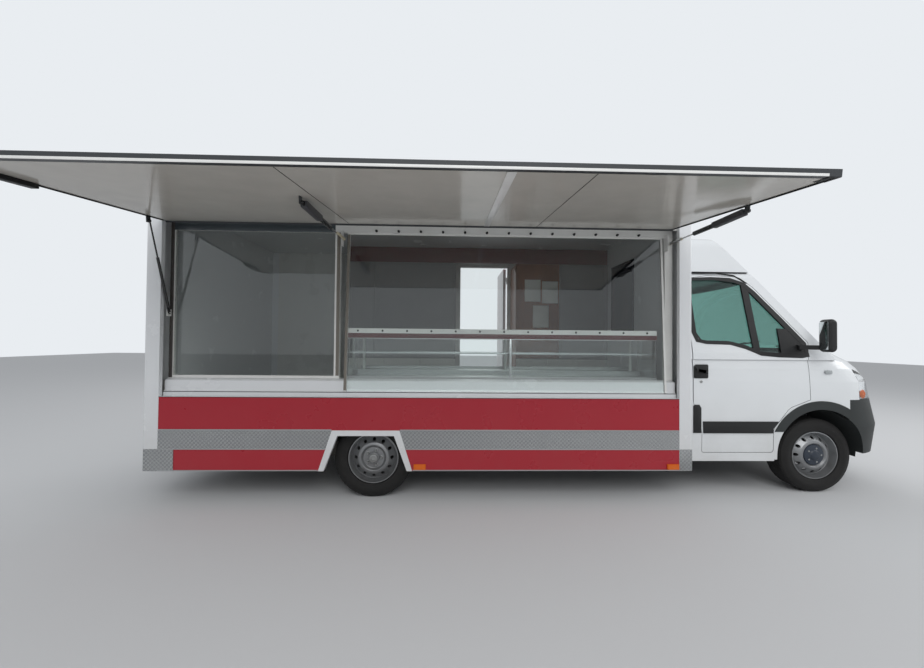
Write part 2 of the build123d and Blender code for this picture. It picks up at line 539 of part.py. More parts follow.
STRUTS = [  # name, x, strut foot is on the flap, reach on the flap, wall y, wall z, tube length, tube radius
    ("middle", -4356, True, 900, -1046, 2262, 560, 18),
    ("front", -1462, True, 900, -1046, 2262, 560, 18),
    ("rear", -5836, False, 205, -1046, 1600, 470, 11),
]
STRUT_BELOW = 36
STRUT_ROD = 6
EYE_RADIUS = 12
EYE_HALF = 5
NECK = 46                 # flat neck between an eye and its tube, clear of the lug
strut_wall_parts = []
strut_flap_parts = []


def along(x, start, end, length_from, length_to, section):
    """Bar on the line from start towards end: round by a radius, flat by its X and other width."""
    direction = Vector(0, end[0] - start[0], end[1] - start[1]).normalized()
    plane = Plane(origin=Vector(x, *start) + direction * length_from, x_dir=(1, 0, 0), z_dir=direction)
    length = length_to - length_from
    bar = Box(*section, length) if isinstance(section, tuple) else Cylinder(section, length)
    return plane * Pos(0, 0, length / 2) * bar


for name, x, foot_on_flap, reach, wall_y, wall_z, tube_length, tube_radius in STRUTS:
    on_flap = flap_point(reach, STRUT_BELOW)
    on_wall = (wall_y, wall_z)
    foot, head_end = (on_flap, on_wall) if foot_on_flap else (on_wall, on_flap)
    span = Vector(0, head_end[0] - foot[0], head_end[1] - foot[1]).length
    tube = rod_x(foot[0], foot[1], EYE_RADIUS, (x - EYE_HALF, x + EYE_HALF))
    tube = tube + along(x, foot, head_end, 4, NECK + 2, (2 * EYE_HALF, 2 * EYE_RADIUS))
    tube = tube + along(x, foot, head_end, NECK, tube_length, tube_radius)
    tube = tube - rod_x(foot[0], foot[1], 5 + GAP, (x - 30, x + 30))
    bore_from = tube_length - (span - tube_length) - 40 if foot_on_flap else 120
    tube = tube - along(x, foot, head_end, max(60, bore_from - 120), tube_length + 1, STRUT_ROD + 0.5)
    rod = along(x, foot, head_end, tube_length - 60, span - EYE_RADIUS + 2, STRUT_ROD)
    if foot_on_flap:
        rod = rod + along(x, foot, head_end, span - 190, span - 4, (2 * EYE_HALF, 2 * EYE_RADIUS))
    rod = rod + rod_x(head_end[0], head_end[1], EYE_RADIUS, (x - EYE_HALF, x + EYE_HALF))
    nodes["strut_tube_" + name] = tube
    nodes["strut_rod_" + name] = rod
    plate_x = (x - EYE_HALF - 9, x - EYE_HALF - 2)
    flat_y, flat_z = HINGE_Y - reach, HINGE_Z
    flap_lug = block(plate_x, (flat_y - 20, flat_y + 20), (flat_z - STRUT_BELOW - 14, flat_z))
    if foot_on_flap:
        flap_lug = flap_lug + rod_x(flat_y, flat_z - STRUT_BELOW, 5, (plate_x[0], x + EYE_HALF + 2))
        wall_lug = block(plate_x, (wall_y - 14, FRAME_Y[0] + 2), (wall_z - 60, RAIL_Z[0] + 10))
    else:
        wall_lug = block(plate_x, (wall_y - 14, FRAME_Y[0] + 2), (wall_z - 30, wall_z + 30))
        wall_lug = wall_lug + rod_x(wall_y, wall_z, 5, (plate_x[0], x + EYE_HALF + 2))
    strut_flap_parts.append(flap_lug)
    strut_wall_parts.append(wall_lug)

latch = block((FLAP_X[0], FLAP_X[0] + 46), (HINGE_Y - FLAP_LENGTH + 150, HINGE_Y - FLAP_LENGTH + 420),
              (HINGE_Z - 26, HINGE_Z))
nodes["flap_frame"] = open_flap(fused(flap_frame, latch, *strut_flap_parts))
nodes["hatch_frame"] = fused(nodes["hatch_frame"], *strut_wall_parts)


# Cab

# Sections of the lower cab: height, half width, side-corner x, front-corner x and y, centre x
CAB_SECTIONS = [
    (CAB_BOTTOM, 985, 470, 770, 700, 800),
    (620, CAB_HALF, 500, 815, 720, FRONT_MOST),
    (LAMP_BOTTOM, CAB_HALF, 440, 775, 700, 800),
    (1030, 993, 420, 748, 690, 775),
    (1150, 987, 350, 665, 650, 700),
    (1220, 978, 290, 580, 620, 615),
    (BELT_Z, 968, 190, 420, 600, 445),
]
TUMBLE = [(CAB_HALF, 300), (CAB_HALF, 1160), (985, BELT_Z), (835, CAB_ROOF)]


def cab_section(row, inset):
    """Plan outline of the lower cab at one height, drawn in by inset."""
    height, half, side_x, front_x, front_y, centre_x = row
    side_x, front_x, centre_x = side_x - 0.4 * inset, front_x - 0.95 * inset, centre_x - inset
    half, front_y = half - inset, front_y - 0.45 * inset
    corners = [(BODY_FRONT, -half, 0), (side_x, -half, 520), (front_x, -front_y, 300), (centre_x, 0, 4000),
               (front_x, front_y, 300), (side_x, half, 520), (BODY_FRONT, half, 0)]
    return Plane.XY.offset(height) * outline(corners)


def screen_arc(inset):
    """Curve of the windscreen in plan where its slope starts, drawn in by inset."""
    foot_x = SCREEN_BASE_X + SCREEN_SLOPE * SCREEN_DEPTH - inset * SCREEN_LEAN
    ends_x = foot_x - SCREEN_RADIUS + (SCREEN_RADIUS ** 2 - SCREEN_REACH ** 2) ** 0.5
    return ThreePointArc((ends_x, -SCREEN_REACH), (foot_x, 0), (ends_x, SCREEN_REACH))


def leaning(plan_edges, top):
    """Plan outline carried up the slope of the windscreen to the height top."""
    foot = Plane.XY.offset(BELT_Z - SCREEN_DEPTH) * make_face(plan_edges)
    rise = top - BELT_Z + SCREEN_DEPTH
    return extrude(foot, rise * SCREEN_LEAN, dir=(-SCREEN_SLOPE, 0, 1))


def cab_solid(low, high):
    """Outer form of the cab, drawn in by low below the belt line and by high above it."""
    lower = loft([cab_section(row, low).faces()[0] for row in CAB_SECTIONS], ruled=True)
    arc = screen_arc(high)
    rest = Polyline(arc @ 1, (2 * BODY_FRONT, SCREEN_REACH), (2 * BODY_FRONT, -SCREEN_REACH), arc @ 0)
    house = leaning([arc, rest], CAB_ROOF - high)
    half = [(y - high, z) for y, z in TUMBLE]
    corners = [(-half[0][0], 300, 0), (half[0][0], 300, 0), (half[1][0], half[1][1], 0), (half[2][0], half[2][1], 0),
               (half[3][0], CAB_ROOF - high, 70), (-half[3][0], CAB_ROOF - high, 70), (-half[2][0], half[2][1], 0),
               (-half[1][0], half[1][1], 0)]
    house = house & cross_prism(corners, (BODY_FRONT, 500))
    return lower + house


outer = cab_solid(0, 0)
inner = cab_solid(SKIN, PILLAR)
shell = outer - inner


def arch_space(grow, inner_y):
    """Space of both front wheel arches, wider by grow, from inner_y outwards."""
    halves = []
    for side in (-1, 1):
        span = (side * inner_y, side * 1200)
        halves.append(rod_y(0, ARCH_CENTRE_Z, ARCH_RADIUS + grow, span)
                      + block((-ARCH_RADIUS - grow, ARCH_RADIUS + grow), span, (200, ARCH_CENTRE_Z)))
    return fused(*halves)


arch_cut = arch_space(0, ARCH_INNER_Y)
arch_grown = arch_space(LINER, ARCH_INNER_Y - LINER)
arm_hole = block((-60, 60), (-ARCH_INNER_Y - 1, ARCH_INNER_Y + 1), (CAB_BOTTOM - 1, TYRE_RADIUS + 130))
wheelhouse = ((arch_grown - arch_cut) & inner) - arm_hole

# Door leaf, window and panel boundaries in X, Z
DOOR_FRONT = -98
DOOR = [(-1205, 1990, 40), (-1205, 850, 60), (-1122, 560, 60), (-1122, 384, 20), (-452, 384, 30), (-452, 600, 60),
        (-300, 790, 120), (DOOR_FRONT - 6, 866, 10), (DOOR_FRONT - 20, 1270, 10), (-100, 1392, 10), (-544, 1916, 40),
        (-668, 2014, 120), (-960, 2026, 200)]
WINDOW = [(-1172, 1990, 40), (-1160, 1470, 30), (-1110, 1388, 60), (-840, 1383, 200), (-560, 1290, 200),
          (-180, 1266, 40), (-128, 1300, 20), (-152, 1372, 10), (-552, 1850, 20), (-668, 1968, 90), (-940, 1998, 200)]


WINDOW_POST = [(-662, 2050), (-600, 2050), (-560, 1200), (-622, 1200)]
SAIL = [(-372, 1200), (-372, 1520), (-100, 1520), (-100, 1200)]
# Mirror: its arm in plan as X and distance from the centreline, and its head
MIRROR_ARM = [(-218, 966), (-172, 966), (-150, 1000), (-84, 1056), (-84, 1100), (-118, 1092), (-180, 1034), (-218, 1004)]
MIRROR_X = (-124, -42)
MIRROR_Y = (1080, 1192)
MIRROR_Z = (1308, 1598)


def side_region(corners, amount, side):
    """Region of the side seen in X, Z, carried from the centre outwards."""
    plane = Plane(origin=(0, 0, 0) if side < 0 else (0, 1200, 0), x_dir=(1, 0, 0), z_dir=(0, -1, 0))
    face = outline(corners)
    if amount:
        face = offset(face, amount=amount, kind=Kind.ARC)
    return extrude(plane * face, 1200)


leaf_layer = outer - cab_solid(SKIN - GAP, PILLAR - GAP)
ledge_layer = inner - cab_solid(SKIN + LEDGE, PILLAR + LEDGE)
glass_layer = cab_solid(10, 10) - cab_solid(16, 16)
trim_layer = cab_solid(-2, -2) - cab_solid(16, 16)
door_cuts = []
door_ledges = []
for side, label in ((-1, "right"), (1, "left")):
    door_cut = side_region(DOOR, 0, side)
    leaf_zone = offset(outline(DOOR), amount=-SHUT_GAP / 2, kind=Kind.ARC)
    plane = Plane(origin=(0, 0, 0) if side < 0 else (0, 1200, 0), x_dir=(1, 0, 0), z_dir=(0, -1, 0))
    leaf_room = block((DOOR[0][0] + SHUT_GAP, 200), (side * 600, side * 1200), (200, 2100))
    leaf_prism = extrude(plane * leaf_zone, 1200) & leaf_room
    window = side_region(WINDOW, 0, side)
    nodes["cab_door_" + label] = (leaf_layer & leaf_prism) - window
    door_ledges.append(ledge_layer & (side_region(DOOR, 10, side) - side_region(DOOR, -LEDGE_WIDTH, side)))
    post = side_prism(straight(WINDOW_POST), (side * 600, side * 1200))
    ring = window - side_region(WINDOW, -16, side)
    sail = side_prism(straight(SAIL), (side * 600, side * 1200))
    trim = (trim_layer & window) & ((ring + post) + sail)
    nodes["door_glass_" + label] = ((glass_layer & window) - ring - post - sail) & block(
        (-1400, 200), (side * 600, side * 1200), (1200, 2100))
    arm_plan = straight([(x, side * y) for x, y in MIRROR_ARM])
    mirror_arm = plan_prism(arm_plan, (1328, 1368))
    head = block(MIRROR_X, (side * MIRROR_Y[0], side * MIRROR_Y[1]), MIRROR_Z)
    head = fillet(head.edges().filter_by(Axis.Y), 40)
    head = fillet(head.edges().group_by(Axis.X)[-1], 26)
    mirror_face = block((MIRROR_X[0] - 1, MIRROR_X[0] + 6), (side * (MIRROR_Y[0] + 14), side * (MIRROR_Y[1] - 14)),
                        (MIRROR_Z[0] + 20, MIRROR_Z[1] - 20))
    nodes["door_trim_" + label] = fused(trim & block((-1400, 200), (side * 600, side * 1200), (1200, 2100)),
                                        (head - mirror_face), mirror_arm)
    door_cuts.append(door_cut)

SCREEN = [(-790, 1330, 60), (-735, 1990, 90), (735, 1990, 90), (790, 1330, 60)]
screen_zone = cross_prism(SCREEN, (-700, 500))
front_arc, back_arc = screen_arc(6), screen_arc(12)
screen_sides = [Line(front_arc @ 1, back_arc @ 1), Line(back_arc @ 0, front_arc @ 0)]
nodes["windscreen"] = leaning([front_arc, back_arc, *screen_sides], CAB_ROOF) & screen_zone

# Front end: everything ahead of the firewall below the belt line
front_zone = block((DOOR_FRONT, 900), (-1100, 1100), (200, BELT_Z))
below_bonnet = [(-120, 1180, 0), (330, 1152, 0), (820, 1010, 0), (820, 1400, 0), (-120, 1400, 0)]
bonnet_zone = side_prism(below_bonnet, (-BONNET_HALF, BONNET_HALF)) & block((FIREWALL_X + 110, 900), (-900, 900),
                                                                             (900, BELT_Z + 1))
lamp_line = straight([(334, 1148), (372, 1039), (372, LAMP_BOTTOM), (900, LAMP_BOTTOM), (900, 987)])
lamp_zone = side_prism(lamp_line, (-1100, 1100)) - block((0, 900), (-430, 430), (800, 1200))
grille_zone = side_prism(straight([(500, LAMP_BOTTOM), (500, 1099), (820, 1008), (900, 985), (900, LAMP_BOTTOM)]),
                         (-430, 430))
bumper_zone = block((BUMPER_REAR, 900), (-1100, 1100), (BUMPER_BOTTOM, LAMP_BOTTOM))
skin = shell - arch_cut
front_skin = skin & front_zone
nodes["front_bumper"] = front_skin & bumper_zone


def behind_cowl(clearance):
    """Everything behind the curved rear edge of the bonnet, moved forwards by clearance."""
    return rod_z(SCREEN_BASE_X + COWL + clearance - SCREEN_RADIUS, 0, SCREEN_RADIUS, (900, BELT_Z + 200))


bonnet = (leaf_layer & bonnet_zone) - behind_cowl(SHUT_GAP)
nodes["bonnet"] = bonnet.solids().sort_by(SortBy.VOLUME)[-1]


def bonnet_opening(gap):
    """Space over the bonnet's edge line, wider by gap at the sides and the front."""
    edge = [(x, z - gap if z < BELT_Z else z, 0) for x, z, radius in below_bonnet]
    return side_prism(edge, (-BONNET_HALF - gap, BONNET_HALF + gap)) - behind_cowl(0)


bonnet_grown = bonnet_opening(SHUT_GAP)
bonnet_ledge = ledge_layer & (bonnet_opening(SHUT_GAP + 10) - bonnet_opening(-LEDGE_WIDTH))
nodes["headlamps"] = (front_skin & lamp_zone) - bonnet_grown
grille = (front_skin & grille_zone) - bonnet_grown
slots = [block((600, 900), (-400, 400), (z, z + 16)) for z in (890, 918, 946, 974)]
nodes["grille"] = grille - fused(*slots)
cowl_half = BONNET_HALF + SHUT_GAP
cowl_strip = behind_cowl(0) & block((DOOR_FRONT, 500), (-cowl_half, cowl_half), (BELT_Z - 60, BELT_Z + 1))
wings = (front_skin - bumper_zone - lamp_zone - grille_zone) - bonnet_grown - cowl_strip
wings = wings & block((DOOR_FRONT, 900), (-1100, 1100), (400, 1400))
wings = wings - block((-200, 900), (-BONNET_HALF + 120, BONNET_HALF - 120), (200, 1400))
bonnet_ledge = bonnet_ledge & block((FIREWALL_X + 110, 800), (-1000, 1000), (900, BELT_Z))
nodes["front_wings"] = fused(wings, bonnet_ledge)

cab_zone = block((BODY_FRONT, DOOR_FRONT), (-1100, 1100), (CAB_BOTTOM, 2100)) \
    + block((DOOR_FRONT, 700), (-1100, 1100), (BELT_Z, 2100))
cab = (skin & cab_zone) - (screen_zone & block((-560, 500), (-1000, 1000), (1300, 2030)))
for cut in door_cuts:
    cab = cab - cut
firewall = block((FIREWALL_X, FIREWALL_X + PANEL), (-900, 900), (CAB_FLOOR_Z[0], BELT_Z - 50))
cab_floor = block((BODY_FRONT + PANEL, FIREWALL_X + PANEL), (-1000, 1000), CAB_FLOOR_Z)
back_wall = inner & block((BODY_FRONT, BODY_FRONT + PANEL), (-1000, 1000), (CAB_FLOOR_Z[0], CAB_ROOF))
sills = [block((BODY_FRONT + 20, -ARCH_RADIUS - 30), (side * 880, side * (CAB_HALF - 8)), (CAB_BOTTOM - 12, 378))
         for side in (-1, 1)]
cowl = block((FIREWALL_X, 330), (-960, 960), (BELT_Z - 50, BELT_Z - 20)) & behind_cowl(0)
nodes["cab_shell"] = fused(cab, back_wall, *door_ledges, *sills)
pan = fused(firewall, cab_floor, cowl)
nodes["cab_pan"] = (inner & pan) - arch_grown - fused(*door_ledges)

fairing_slope = 1.02
base_x = SCREEN_BASE_X - SCREEN_SLOPE * (CAB_ROOF - BELT_Z) - 6
side_back = SCREEN_RADIUS - (SCREEN_RADIUS ** 2 - 835 ** 2) ** 0.5
fairing_arc = ThreePointArc((base_x - side_back, -835), (base_x, 0), (base_x - side_back, 835))
fairing_rest = Polyline((base_x - side_back, 835), (-2600, 835), (-2600, -835), (base_x - side_back, -835))
fairing_foot = Plane.XY.offset(CAB_ROOF) * make_face([fairing_arc, fairing_rest])
fairing = extrude(fairing_foot, (FAIRING_TOP - CAB_ROOF) * (1 + fairing_slope ** 2) ** 0.5, dir=(-fairing_slope, 0, 1))
fairing = fairing & cross_prism([(-835, CAB_ROOF, 0), (835, CAB_ROOF, 0), (800, FAIRING_TOP, 120),
                                 (-800, FAIRING_TOP, 120)], (BODY_FRONT, 300))
fairing = fairing & side_prism([(BODY_FRONT, CAB_ROOF, 0), (-250, CAB_ROOF, 0), (-800, FAIRING_TOP, 820),
                                (BODY_FRONT, FAIRING_TOP, 0)], (-900, 900))
nodes["roof_fairing"] = fairing

arch_ring = []
for side in (-1, 1):
    disc = rod_y(0, ARCH_CENTRE_Z, ARCH_RADIUS + ARCH_TRIM, (side * 900, side * (CAB_HALF + 6)))
    ring = (disc - arch_cut) & block((-560, BUMPER_REAR - 4), (-1100, 1100), (575, 1000))
    arch_ring.append(ring & (cab_solid(-6, -6) - outer))
nodes["arch_trims"] = fused(*arch_ring, wheelhouse)

# Inside the cab
SEAT_Z = 780
seats = []
for y_from, y_to in ((180, 700), (-820, -180)):
    cushion = fillet(block((-900, -400), (y_from, y_to), (SEAT_Z - 130, SEAT_Z)).edges(), 30)
    back = block((-70, 70), (y_from, y_to), (0, 640))
    back = Pos(-900, 0, SEAT_Z - 60) * (Rot(0, -14, 0) * fillet(back.edges(), 34))
    rest = Pos(-1064, (y_from + y_to) / 2, SEAT_Z + 640) * fillet(Box(90, 260, 180).edges(), 30)
    box_under = block((-880, -460), (y_from + 40, y_to - 40), (485, SEAT_Z - 120))
    seats.append(fused(cushion, back, rest, box_under))
nodes["cab_seats"] = fused(*seats)
dash_side = [(-250, 900, 40), (-300, 1130, 60), (-160, 1230, 60), (FIREWALL_X, 1232, 0), (FIREWALL_X, 900, 0)]
dash = inner & side_prism(dash_side, (-1000, 1000))
column = Pos(-300, 440, 1080) * (Rot(0, -62, 0) * Cylinder(26, 260))
wheel_ring = Pos(-400, 440, 1150) * (Rot(0, -62, 0) * (Torus(190, 15) + Cylinder(52, 30) + Box(360, 34, 14)))
nodes["dashboard"] = fused(dash, column, wheel_ring) - fused(*door_ledges)
nodes["engine_block"] = block((70, 560), (-330, 360), ENGINE_Z)


spans = [shape.bounding_box() for shape in nodes.values()]
middle_x = (min(span.min.X for span in spans) + max(span.max.X for span in spans)) / 2
middle_y = (min(span.min.Y for span in spans) + max(span.max.Y for span in spans)) / 2


def place(shape):
    """Move a finished piece so that the middle of the footprint is the origin."""
    return Pos(-middle_x, -middle_y, 0) * shape


os.makedirs("parts", exist_ok=True)
for name, shape in nodes.items():
    solids = [place(solid) for solid in shape.solids()]
    export_step(Compound(solids) if len(solids) > 1 else solids[0], "parts/" + name + ".step")
print("origin shift", -middle_x, -middle_y, "pieces", len(nodes))
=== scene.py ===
"""Looks of the food truck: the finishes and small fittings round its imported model.

Sizes are millimetres in the maker's frame: x forwards from the front axle, y to the left of
the centreline, z up from the ground. ``at`` turns them into the scene's metres.
"""

import logging
import math
from contextlib import contextmanager
from dataclasses import dataclass
from enum import Enum
from typing import Callable, Iterator, Sequence

import bmesh
import bpy
from mathutils import Matrix, Vector


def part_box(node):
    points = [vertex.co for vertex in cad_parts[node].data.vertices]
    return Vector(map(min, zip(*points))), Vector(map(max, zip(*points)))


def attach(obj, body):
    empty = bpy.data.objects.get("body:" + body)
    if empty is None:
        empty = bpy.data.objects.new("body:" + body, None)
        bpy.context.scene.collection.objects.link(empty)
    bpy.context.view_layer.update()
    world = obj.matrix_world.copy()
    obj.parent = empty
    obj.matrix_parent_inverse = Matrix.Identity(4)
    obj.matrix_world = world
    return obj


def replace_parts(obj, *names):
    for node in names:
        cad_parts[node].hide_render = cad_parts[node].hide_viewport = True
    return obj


LOG = logging.getLogger("food_truck")
MM = 0.001
SMOOTH_ANGLE = math.radians(35)
# Thickness in metres that a drawn bar starts with, before it is extruded
START_THICK = 0.0005
SIDES = (("right", -1), ("left", 1))

Tree = bpy.types.NodeTree
Node = bpy.types.Node
Socket = bpy.types.NodeSocket
Piece = bpy.types.Object
Point = Sequence[float]
Pair = tuple[float, float]
Triple = tuple[float, float, float]

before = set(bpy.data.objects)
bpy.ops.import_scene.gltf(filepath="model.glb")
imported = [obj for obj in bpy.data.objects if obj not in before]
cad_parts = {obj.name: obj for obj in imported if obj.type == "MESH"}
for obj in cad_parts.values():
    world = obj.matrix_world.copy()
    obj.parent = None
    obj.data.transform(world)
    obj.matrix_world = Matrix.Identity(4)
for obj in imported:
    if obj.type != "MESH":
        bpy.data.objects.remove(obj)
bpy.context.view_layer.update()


def middle_of(node: str, axis: int) -> float:
    """Middle of a node's box along one axis, in metres."""
    low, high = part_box(node)
    return (low[axis] + high[axis]) / 2


FRONT_AXLE_X = middle_of("tyre_front_left", 0)
CENTRELINE_Y = middle_of("roof_panel", 1)


def at(x: float, y: float, z: float) -> Vector:
    """Point of the maker's frame, in the scene's metres."""
    return Vector((FRONT_AXLE_X + x * MM, CENTRELINE_Y + y * MM, z * MM))


def span_of(node: str) -> tuple[Vector, Vector]:
    """Lowest and highest corner of a node in the maker's frame.

    Args:
        node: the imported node's name.

    Returns:
        Both corners, in millimetres.
    """
    low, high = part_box(node)
    shift = Vector((FRONT_AXLE_X, CENTRELINE_Y, 0))
    return (low - shift) / MM, (high - shift) / MM


# Finishes


def linear(colour: str) -> tuple[float, float, float, float]:
    """Turn an sRGB hex colour into linear light.

    Args:
        colour: six hex digits after a hash sign.

    Returns:
        Linear red, green and blue, and a full alpha.
    """
    channels = [int(colour[place:place + 2], 16) / 255 for place in (1, 3, 5)]
    light = [c / 12.92 if c <= 0.04045 else ((c + 0.055) / 1.055) ** 2.4 for c in channels]
    return light[0], light[1], light[2], 1.0


def per_mm(size: float) -> float:
    """Pattern scale that gives features of this size in millimetres."""
    return 1000.0 / size


def add_node(tree: Tree, kind: str, inputs: dict | None = None, **settings: str) -> Node:
    """Add one shader node.

    Args:
        tree: the material's or world's node tree.
        kind: the node's type name after ShaderNode.
        inputs: value, source socket or source node (its first output), by input name or number.
        settings: the node's own settings.

    Returns:
        The new node.
    """
    node = tree.nodes.new("ShaderNode" + kind)
    for key, value in settings.items():
        setattr(node, key, value)
    for key, value in (inputs or {}).items():
        if isinstance(value, Node):
            value = value.outputs[0]
        if isinstance(value, Socket):
            tree.links.new(value, node.inputs[key])
        else:
            node.inputs[key].default_value = value
    return node


@dataclass(frozen=True)
class Lining:
    """Colour of the faces that look towards a point, such as the inside of a painted shell."""

    colour: str
    origin: Triple
    stretch: Triple = (1.0, 1.0, 1.0)


@dataclass(frozen=True)
class Finish:
    """A plain surface, and the base of the patterned ones."""

    name: str
    colour: str
    roughness: float
    metallic: float = 0.0
    coat: float = 0.0
    lining: Lining | None = None
    smear_mm: float = 260.0

    def material(self) -> bpy.types.Material:
        """Return the finish as a Blender material, made once."""
        found = bpy.data.materials.get(self.name)
        if found is not None:
            return found
        made = bpy.data.materials.new(self.name)
        made.use_nodes = True
        shader = made.node_tree.nodes["Principled BSDF"]
        for name, value in (("Base Color", linear(self.colour)), ("Roughness", self.roughness),
                            ("Metallic", self.metallic), ("Coat Weight", self.coat), ("Coat Roughness", 0.05)):
            shader.inputs[name].default_value = value
        self.dress(made.node_tree, shader)
        return made

    def dress(self, tree: Tree, shader: Node) -> None:
        """Add the finish's own pattern; a plain finish has none.

        Args:
            tree: the material's node tree.
            shader: its main shader.
        """

    def paint(self, tree: Tree, shader: Node, colour: Socket) -> None:
        """Feed the base colour, changed to the lining's on the faces that look inwards.

        Args:
            tree: the material's node tree.
            shader: its main shader.
            colour: the outer colour.
        """
        if self.lining is not None:
            coords = add_node(tree, "TexCoord").outputs
            away = add_node(tree, "VectorMath", {0: coords["Object"], 1: self.lining.origin}, operation="SUBTRACT")
            drawn = add_node(tree, "VectorMath", {0: away, 1: self.lining.stretch}, operation="MULTIPLY")
            facing = add_node(tree, "VectorMath", {0: coords["Normal"], 1: drawn}, operation="DOT_PRODUCT")
            inside = add_node(tree, "Math", {0: facing.outputs["Value"], 1: 0.001}, operation="LESS_THAN")
            colour = add_node(tree, "Mix", {0: inside, 6: colour, 7: linear(self.lining.colour)},
                              data_type="RGBA").outputs[2]
        tree.links.new(colour, shader.inputs["Base Color"])

    def emboss(self, tree: Tree, shader: Node, height: Node, depth_mm: float, strength: float) -> None:
        """Turn a height pattern into bump.

        Args:
            tree: the material's node tree.
            shader: its main shader.
            height: node that gives the pattern.
            depth_mm: its height.
            strength: how far it shows.
        """
        bump = add_node(tree, "Bump", {"Strength": strength, "Distance": depth_mm * MM, "Height": height})
        tree.links.new(bump.outputs["Normal"], shader.inputs["Normal"])

    def roughen(self, tree: Tree, shader: Node, place: Socket, grain_mm: float, depth_mm: float) -> None:
        """Add a fine bump and a little unevenness of gloss.

        Args:
            tree: the material's node tree.
            shader: its main shader.
            place: coordinates to draw on.
            grain_mm: size of the grain.
            depth_mm: its height.
        """
        grain = add_node(tree, "TexNoise", {"Scale": per_mm(grain_mm), "Detail": 3.0, "Vector": place})
        self.emboss(tree, shader, grain, depth_mm, 0.6)
        smear = add_node(tree, "TexNoise", {"Scale": per_mm(self.smear_mm), "Detail": 5.0, "Vector": place})
        gloss = add_node(tree, "MapRange", {"To Min": self.roughness * 0.8, "To Max": min(1.0, self.roughness * 1.25),
                                            "Value": smear})
        tree.links.new(gloss.outputs["Result"], shader.inputs["Roughness"])


@dataclass(frozen=True)
class CoachPaint(Finish):
    """Sprayed two-pack paint with orange peel, and road dust that thins out upwards; on the wheels the same darkening
    is partly painted shade.
    """

    dust: str = "#8C857A"
    dust_and_shade_top: float = 1.0
    dust_and_shade_most: float = 0.5
    peel_mm: float = 9.0
    blotch_mm: float = 330.0

    def dress(self, tree: Tree, shader: Node) -> None:
        """Add orange peel and the dust, which on the wheels is partly painted shade.

        Args:
            tree: the material's node tree.
            shader: its main shader.
        """
        place = add_node(tree, "TexCoord").outputs["Object"]
        self.roughen(tree, shader, place, self.peel_mm, depth_mm=0.05)
        blotch = add_node(tree, "TexNoise", {"Scale": per_mm(self.blotch_mm), "Detail": 7.0, "Roughness": 0.62,
                                             "Vector": place})
        # Darker towards the bottom: road dust, and on the wheels partly painted shade
        height = add_node(tree, "SeparateXYZ", {"Vector": place}).outputs["Z"]
        low = add_node(tree, "MapRange", {"From Min": 0.25, "From Max": self.dust_and_shade_top, "To Min": self.dust_and_shade_most,
                                          "To Max": 0.03, "Value": height})
        amount = add_node(tree, "Math", {0: low, 1: blotch}, operation="MULTIPLY")
        colour = add_node(tree, "Mix", {0: amount, 6: linear(self.colour), 7: linear(self.dust)}, data_type="RGBA")
        self.paint(tree, shader, colour.outputs[2])


@dataclass(frozen=True)
class MouldedPlastic(Finish):
    """Injection-moulded or laminated surface with a fine eroded grain."""

    grain_mm: float = 3.0
    depth_mm: float = 0.12
    shade_mm: float = 180.0

    def dress(self, tree: Tree, shader: Node) -> None:
        """Add the grain, drawn coarser than the real one so that it shows.

        Args:
            tree: the material's node tree.
            shader: its main shader.
        """
        place = add_node(tree, "TexCoord").outputs["Object"]
        self.roughen(tree, shader, place, self.grain_mm, self.depth_mm)
        shade = add_node(tree, "TexNoise", {"Scale": per_mm(self.shade_mm), "Detail": 6.0, "Vector": place})
        tone = add_node(tree, "MapRange", {"To Min": 0.88, "To Max": 1.08, "Value": shade})
        colour = add_node(tree, "VectorMath", {0: linear(self.colour)[:3], "Scale": tone}, operation="SCALE")
        self.paint(tree, shader, colour.outputs["Vector"])


@dataclass(frozen=True)
class TreadPlate(Finish):
    """Rolled aluminium with groups of raised bars that turn a quarter from cell to cell."""

    cell_mm: float = 34.0
    bars: float = 3.0
    valley_shade: str = "#7D7F80"

    def dress(self, tree: Tree, shader: Node) -> None:
        """Add the bars as bump, with a painted highlight on top and painted shade between them.

        Args:
            tree: the material's node tree.
            shader: its main shader.
        """
        place = add_node(tree, "TexCoord").outputs["Object"]
        parts = add_node(tree, "SeparateXYZ", {"Vector": place}).outputs
        run = add_node(tree, "Math", {0: parts["X"], 1: parts["Y"]}, operation="ADD")
        lines = [add_node(tree, "Math", {0: run, 1: parts["Z"]}, operation=way) for way in ("ADD", "SUBTRACT")]
        waves = []
        for period in (1.0, self.bars):
            for line in lines:
                turn = add_node(tree, "Math", {0: line, 1: 2 * math.pi * per_mm(self.cell_mm) * period},
                                operation="MULTIPLY")
                waves.append(add_node(tree, "Math", {0: turn}, operation="SINE"))
        which = add_node(tree, "Math", {0: waves[0], 1: waves[1]}, operation="MULTIPLY")
        first = add_node(tree, "Math", {0: which, 1: 0.0}, operation="GREATER_THAN")
        bar = add_node(tree, "Mix", {0: first, 2: waves[2], 3: waves[3]}, data_type="FLOAT")
        top = add_node(tree, "MapRange", {"From Min": -0.2, "From Max": 0.7, "Value": bar})
        self.emboss(tree, shader, top, 1.5, 0.9)
        # Painted shade between the bars, painted highlight on their tops
        bars_lit_valleys_shaded = add_node(tree, "Mix", {0: top, 6: linear(self.valley_shade), 7: linear(self.colour)}, data_type="RGBA")
        tree.links.new(bars_lit_valleys_shaded.outputs[2], shader.inputs["Base Color"])


@dataclass(frozen=True)
class RolledMetal(Finish):
    """Bare or anodised metal with faint lines along the piece."""

    line_mm: float = 2.0

    def dress(self, tree: Tree, shader: Node) -> None:
        """Add the drawing lines, stretched along x.

        Args:
            tree: the material's node tree.
            shader: its main shader.
        """
        place = add_node(tree, "TexCoord").outputs["Object"]
        drawn = add_node(tree, "Mapping", {"Scale": (0.02, 1.0, 1.0), "Vector": place})
        self.roughen(tree, shader, drawn.outputs["Vector"], self.line_mm, depth_mm=0.04)


